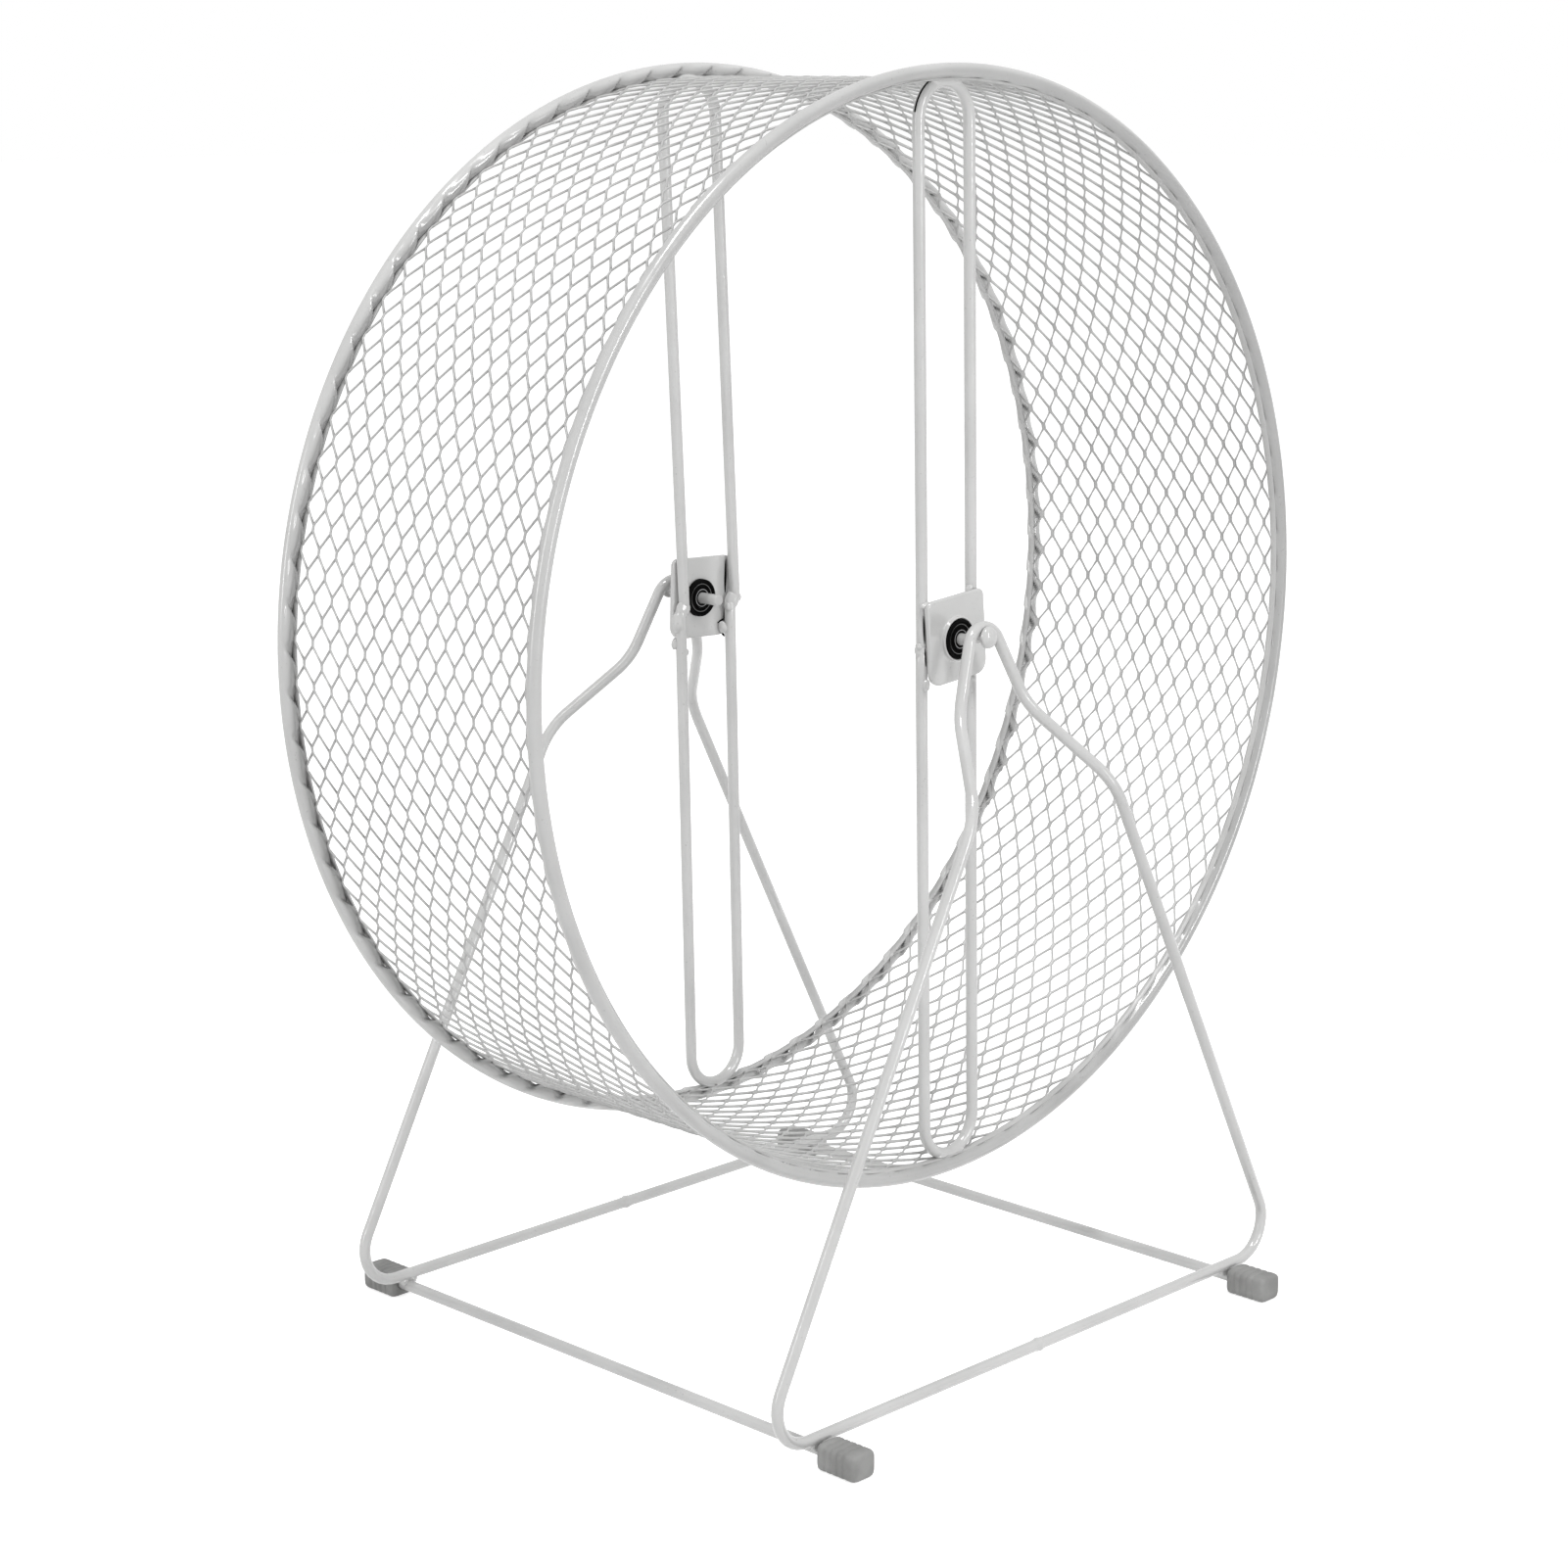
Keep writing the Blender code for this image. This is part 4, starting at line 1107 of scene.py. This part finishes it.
for side, along_direction in SIDES.items():
    for name, across_direction in (("left", -1), ("right", 1)):
        node = side + "_" + name + "_foot"
        make_piece(side + "_" + name + "_rubber_cap", [rubber_cap(across_direction, along_direction)],
                   "stand", grey_rubber, [node])

# %% [markdown]
# ## The welds
# The wheel holds together at its welds, and they are what a stand-in leaves out.
# At the hub, beads lie in the corners between rods and plate. Each is a row of a
# table: where its centre is (across, up, out), its half sizes, and its turn from
# upright in degrees. Where a rod lies along the plate, the shade deep in the seam
# is painted as a thin dark strip of black steel: painted shadow. Such strips are
# very flat beads, so they are listed in the same way.

# %% Tables of beads and painted shadow strips at the hub
HUB_BEADS = {
    "front": [
        (-9.6, 9.5, -0.1, 1.6, 0.8, 0.9, 78), (7.3, 11.3, -0.3, 1.2, 0.7, 0.9, 35),
        (-9.5, -10.7, 0.0, 1.6, 1.0, 0.9, 8), (8.4, -11.7, -0.2, 0.7, 0.6, 0.6, 0),
        (-9.5, -2.0, -1.5, 1.9, 1.68, 1.62, 0), (9.1, -2.0, -1.5, 1.9, 1.68, 1.62, 0),
        (-10.7, -0.9, -1.3, 1.0, 0.6, 1.0, 0),
    ],
    "rear": [
        (-8.3, -3.4, -1.9, 1.3, 0.9, 1.0, 25), (-7.6, -9.1, -0.6, 1.8, 1.2, 1.2, 20),
        (-12.4, -1.3, -1.5, 1.3, 0.9, 1.0, 0), (9.9, -7.7, -0.4, 1.4, 0.9, 0.9, 0),
        (10.3, -11.0, -0.4, 1.6, 0.9, 0.9, -10), (6.9, -13.7, -1.2, 0.9, 0.7, 0.7, 0),
        (-10.3, -2.0, -1.5, 2.8, 2.05, 1.66, -20), (8.2, -2.0, -1.5, 2.8, 1.95, 1.66, -18),
        (-9.3, -12.6, -1.2, 1.3, 0.8, 0.9, 0), (9.5, -5.4, -1.3, 3.0, 2.2, 1.75, 0),
    ],
}
# Thin dark strips of painted shadow where rods lie along the plates.
PAINTED_SHADOW_STRIPS = {
    "front": [
        (-10.15, 3.4, 0.10, 3.6, 0.14, 0.22, -3.5), (-9.75, -3.6, 0.10, 2.4, 0.14, 0.20, -3.5),
    ],
    "rear": [
        (-9.75, 4.6, 0.26, 4.6, 0.42, 0.10, -3.5), (-9.0, -5.6, 0.26, 2.2, 0.30, 0.10, -8),
        (-7.6, -7.4, 0.26, 0.30, 1.3, 0.10, 20), (-8.4, -11.2, 0.26, 0.9, 0.35, 0.10, 40),
    ],
}
print("beads at the front hub:", len(HUB_BEADS["front"]), "at the rear hub:", len(HUB_BEADS["rear"]))

# %% [markdown]
# A bead is drawn about zero with its long way first, turned in the plane of the
# plate, and then moved to its place. One more dark strip of painted shadow lies
# beside the half turn of the front upper hairpin, where it meets the rim: a thin
# tube along an arc.

# %% Beads and painted shadow strips at the hub
HUB_SEED, SHADOW_STRIP_SEED, REAR_SEEDS = 11, 71, 17
CREST_RADIUS, CREST_WIDTH = 10.62, 0.28
CREST_ARC = (100, 168)
CREST_ROWS, CREST_SIDES = 20, 12


def hub_beads(side, table, first_seed):
    """Beads round the hub: up = c l - s w and across = s l + c w from the place of each."""
    shells = []
    for index, (across, up, out, length, width, height, turn) in enumerate(table[side]):
        points, faces = bead((length, width, height), first_seed + index + REAR_SEEDS * (side == "rear"))
        long_way, wide_way, high_way = points.T
        c, s = math.cos(math.radians(turn)), math.sin(math.radians(turn))
        points = np.stack([across + s * long_way + c * wide_way, up + c * long_way - s * wide_way,
                           out + high_way], axis=1)
        shells.append((on_side(points, side, True), faces))
    return shells


def crest_shadow_strip(side):
    """A dark line of painted shadow beside the half turn of the upper hairpin: an arc round its middle."""
    a = np.radians(np.linspace(*CREST_ARC, CREST_ROWS))
    middle_up = STRUT_REACH - STRUT_SPACING
    arc_points = np.stack([CREST_RADIUS * np.cos(a), middle_up + CREST_RADIUS * np.sin(a),
                           np.full_like(a, STRUT_OUT)], axis=1)
    points, faces = tube(arc_points, CREST_WIDTH, OUTWARD, CREST_SIDES)
    return on_side(points, side, True), faces


print("points of one seam:", len(crest_shadow_strip("front")[0]))

# %% [markdown]
# At the rim, each hairpin is held by two beads, one on either side of the middle
# of its half turn. They lie in the corner between its wire and the rim.

# %% Beads at the rim
RIM_BEAD, RIM_SEED, REAR_RIM_SEEDS = (2.2, 0.9, 1.1), 31, 5
RIM_BEAD_CIRCLE, RIM_BEAD_DROP, RIM_BEAD_OUT = 136.0, 0.6, -0.9
RIM_BEAD_PLACES = [(1, -3.2), (1, 3.4), (-1, -3.3), (-1, 3.1)]


def rim_beads(side):
    """Two beads to each hairpin, where its half turn lies under the rim."""
    shells = []
    for index, (direction, across) in enumerate(RIM_BEAD_PLACES):
        up = direction * (math.sqrt(RIM_BEAD_CIRCLE ** 2 - across ** 2) - RIM_BEAD_DROP)
        points, faces = bead(RIM_BEAD, RIM_SEED + index + REAR_RIM_SEEDS * (side == "rear"))
        shift = strut_shift(side, direction, across, np.array(up))
        points = points + (across + shift, up, RIM_BEAD_OUT)
        shells.append((on_side(points, side, True), faces))
    return shells


print("beads at one rim:", len(rim_beads("front")))

# %% [markdown]
# At the base, crossbar and runners are joined where they cross, and the two ends
# of a frame's wire meet in the middle of the crossbar, under a collar of weld. The
# last step makes all welds into pieces, each on the body of the wires it joins.

# %% Beads at the base, and all welds
BASE_BEAD, BASE_SEED = (1.5, 1.5, 1.0), 51
BASE_BEAD_OFFSET, BASE_BEAD_DROP = 1.4, 1.65
COLLAR_REACH, COLLAR_ROWS, COLLAR_SIDES = 2.1, 15, 32
COLLAR_SWELL, COLLAR_WIDTH, COLLAR_WAVE, COLLAR_PITCH = 0.28, 0.9, 0.05, 5


def butt_weld(side):
    """A collar round the crossbar: radius = wire + swell exp(-(x / width)^2) + wave sin(pitch x)."""
    x = np.linspace(-COLLAR_REACH, COLLAR_REACH, COLLAR_ROWS)
    radius = WIRE_RADIUS + COLLAR_SWELL * np.exp(-(x / COLLAR_WIDTH) ** 2)
    radius = radius + COLLAR_WAVE * np.sin(COLLAR_PITCH * x)
    radius[[0, -1]] = 0.0
    q = np.arange(COLLAR_SIDES) * 2 * math.pi / COLLAR_SIDES
    points = np.stack([np.repeat(x, COLLAR_SIDES), np.outer(radius, np.cos(q)).ravel() + CROSSBAR_UP,
                       np.outer(radius, np.sin(q)).ravel() + CROSSBAR_OUT], -1)
    return on_side(points, side, False), grid_faces(COLLAR_ROWS, COLLAR_SIDES, close_columns=True)


def base_beads(side):
    """Two beads at each crossing of crossbar and runner, and the collar where the wire's ends meet."""
    shells = []
    for index, across in enumerate((-RUNNER_ACROSS, RUNNER_ACROSS)):
        for step, offset in enumerate((-BASE_BEAD_OFFSET, BASE_BEAD_OFFSET)):
            points, faces = bead(BASE_BEAD, BASE_SEED + 2 * index + step)
            place = (across + offset, CROSSBAR_UP - BASE_BEAD_DROP, CROSSBAR_OUT)
            shells.append((on_side(points + place, side, False), faces))
    return shells + [butt_weld(side)]


for side in SIDES:
    beads = hub_beads(side, HUB_BEADS, HUB_SEED)
    make_piece(side + "_hub_welds", beads, "wheel", white_paint)
    # Dark strips of black steel in the seams and beside the crest: painted shadow.
    shadow_shells = hub_beads(side, PAINTED_SHADOW_STRIPS, SHADOW_STRIP_SEED)
    if side == "front":
        shadow_shells.append(crest_shadow_strip(side))
    make_piece(side + "_painted_shadow_strips", shadow_shells, "wheel", black_steel)
    make_piece(side + "_rim_welds", rim_beads(side), "wheel", white_paint)
    make_piece(side + "_base_welds", base_beads(side), "stand", white_paint)

# %% [markdown]
# ## Floor, light and camera
# The picture's background is pure white, and only a faint shadow may show. The
# floor is pale and lit like the rest. To camera, glossy and transmitted rays it
# also glows, so that it reaches white where no shadow falls. More light on the
# floor would do that too, but it would bleach the wheel.

# %% Floor
FLOOR_REACH = 9
FLOOR_WHITE = (0.80, 0.80, 0.80, 1.0)
FLOOR_GLOW = 0.70


def seen_directly(tree):
    """1 for camera, glossy and transmission rays, 0 for the light that fills in."""
    path = tree.nodes.new("ShaderNodeLightPath")
    first = tree.nodes.new("ShaderNodeMath")
    second = tree.nodes.new("ShaderNodeMath")
    for node in (first, second):
        node.operation = "MAXIMUM"
    tree.links.new(path.outputs["Is Camera Ray"], first.inputs[0])
    tree.links.new(path.outputs["Is Glossy Ray"], first.inputs[1])
    tree.links.new(first.outputs[0], second.inputs[0])
    tree.links.new(path.outputs["Is Transmission Ray"], second.inputs[1])
    return second.outputs[0]


floor_corners = [(x * FLOOR_REACH, y * FLOOR_REACH, 0) for x, y in ((-1, -1), (1, -1), (1, 1), (-1, 1))]
floor_mesh = bpy.data.meshes.new("floor")
floor_mesh.from_pydata(floor_corners, [], [(0, 1, 2, 3)])
floor = bpy.data.objects.new("floor", floor_mesh)
bpy.context.scene.collection.objects.link(floor)

floor_white = bpy.data.materials.new("floor_white")
floor_white.use_nodes = True
tree = floor_white.node_tree
tree.nodes.clear()
diffuse = tree.nodes.new("ShaderNodeBsdfDiffuse")
diffuse.inputs["Color"].default_value = FLOOR_WHITE
glow = tree.nodes.new("ShaderNodeEmission")
level = tree.nodes.new("ShaderNodeMath")
level.operation = "MULTIPLY"
level.inputs[1].default_value = FLOOR_GLOW
tree.links.new(seen_directly(tree), level.inputs[0])
tree.links.new(level.outputs[0], glow.inputs["Strength"])
total = tree.nodes.new("ShaderNodeAddShader")
output = tree.nodes.new("ShaderNodeOutputMaterial")
tree.links.new(diffuse.outputs["BSDF"], total.inputs[0])
tree.links.new(glow.outputs["Emission"], total.inputs[1])
tree.links.new(total.outputs["Shader"], output.inputs["Surface"])
floor_mesh.materials.append(floor_white)
print("floor:", 2 * FLOOR_REACH, "m square")

# %% [markdown]
# Most of the light comes evenly from all round, as in a light tent. That is the
# world, which is plain white to the camera and about half as strong as a light.
# Lamps add what the tent lacks: a tall narrow one in front and one on the left
# draw long highlights on the wires, and a small one from above shades the sheet.

# %% World and lamps
WORLD_FILL = 0.52
WHEEL_MIDDLE = (0, 0, 0.17)
LAMPS = {
    "key": {"place": (0.30, -3.1, 0.85), "width": 0.25, "height": 1.6, "power": 23.0},
    "left": {"place": (-3.0, 0.6, 0.85), "width": 0.25, "height": 1.6, "power": 16.0},
    "top": {"place": (-0.4, -0.5, 1.9), "width": 0.3, "height": 0.3, "power": 15.0},
}

world = bpy.data.worlds.new("studio")
bpy.context.scene.world = world
world.use_nodes = True
tree = world.node_tree
background = tree.nodes["Background"]
background.inputs["Color"].default_value = (1.0, 1.0, 1.0, 1.0)
blend = tree.nodes.new("ShaderNodeMapRange")
blend.inputs["To Min"].default_value = WORLD_FILL
blend.inputs["To Max"].default_value = 1.0
tree.links.new(seen_directly(tree), blend.inputs["Value"])
tree.links.new(blend.outputs["Result"], background.inputs["Strength"])


def soft_lamp(name, place, width, height, power):
    """An area lamp, width by height, that looks at the middle of the wheel."""
    data = bpy.data.lights.new(name, "AREA")
    data.shape = "RECTANGLE"
    data.size = width
    data.size_y = height
    data.energy = power
    lamp = bpy.data.objects.new(name, data)
    lamp.location = place
    lamp.rotation_euler = (Vector(WHEEL_MIDDLE) - Vector(place)).to_track_quat("-Z", "Y").to_euler()
    bpy.context.scene.collection.objects.link(lamp)


for name, lamp in LAMPS.items():
    soft_lamp(name, **lamp)
print("lamps:", ", ".join(LAMPS), "and a world fill of", WORLD_FILL)

# %% [markdown]
# The camera stands where the photograph was taken: its place, direction and lens
# were fitted to the two rims, the two hubs and the legs. It looks along d with no
# roll, so right and up follow from d and the vertical.

# %% Camera
CAMERA_PLACE = (-0.6062, -0.5785, 0.3250)
CAMERA_TURN = math.radians(45.68)
CAMERA_DIP = math.radians(12.4)
SENSOR_WIDTH, LENS = 36.0, 75.4
NEAREST_SEEN = 0.01

camera_data = bpy.data.cameras.new("camera")
camera_data.sensor_width = SENSOR_WIDTH
camera_data.lens = LENS
camera_data.clip_start = NEAREST_SEEN
camera = bpy.data.objects.new("camera", camera_data)
look = Vector((math.sin(CAMERA_TURN) * math.cos(CAMERA_DIP),
               math.cos(CAMERA_TURN) * math.cos(CAMERA_DIP), -math.sin(CAMERA_DIP)))
right = Vector((math.cos(CAMERA_TURN), -math.sin(CAMERA_TURN), 0.0))
upward = right.cross(look)
camera.matrix_world = Matrix.Translation(CAMERA_PLACE) @ Matrix((right, upward, -look)).transposed().to_4x4()
bpy.context.scene.collection.objects.link(camera)
bpy.context.scene.camera = camera
bpy.context.scene.view_settings.view_transform = "Standard"
print("camera looks along", tuple(round(value, 3) for value in look))
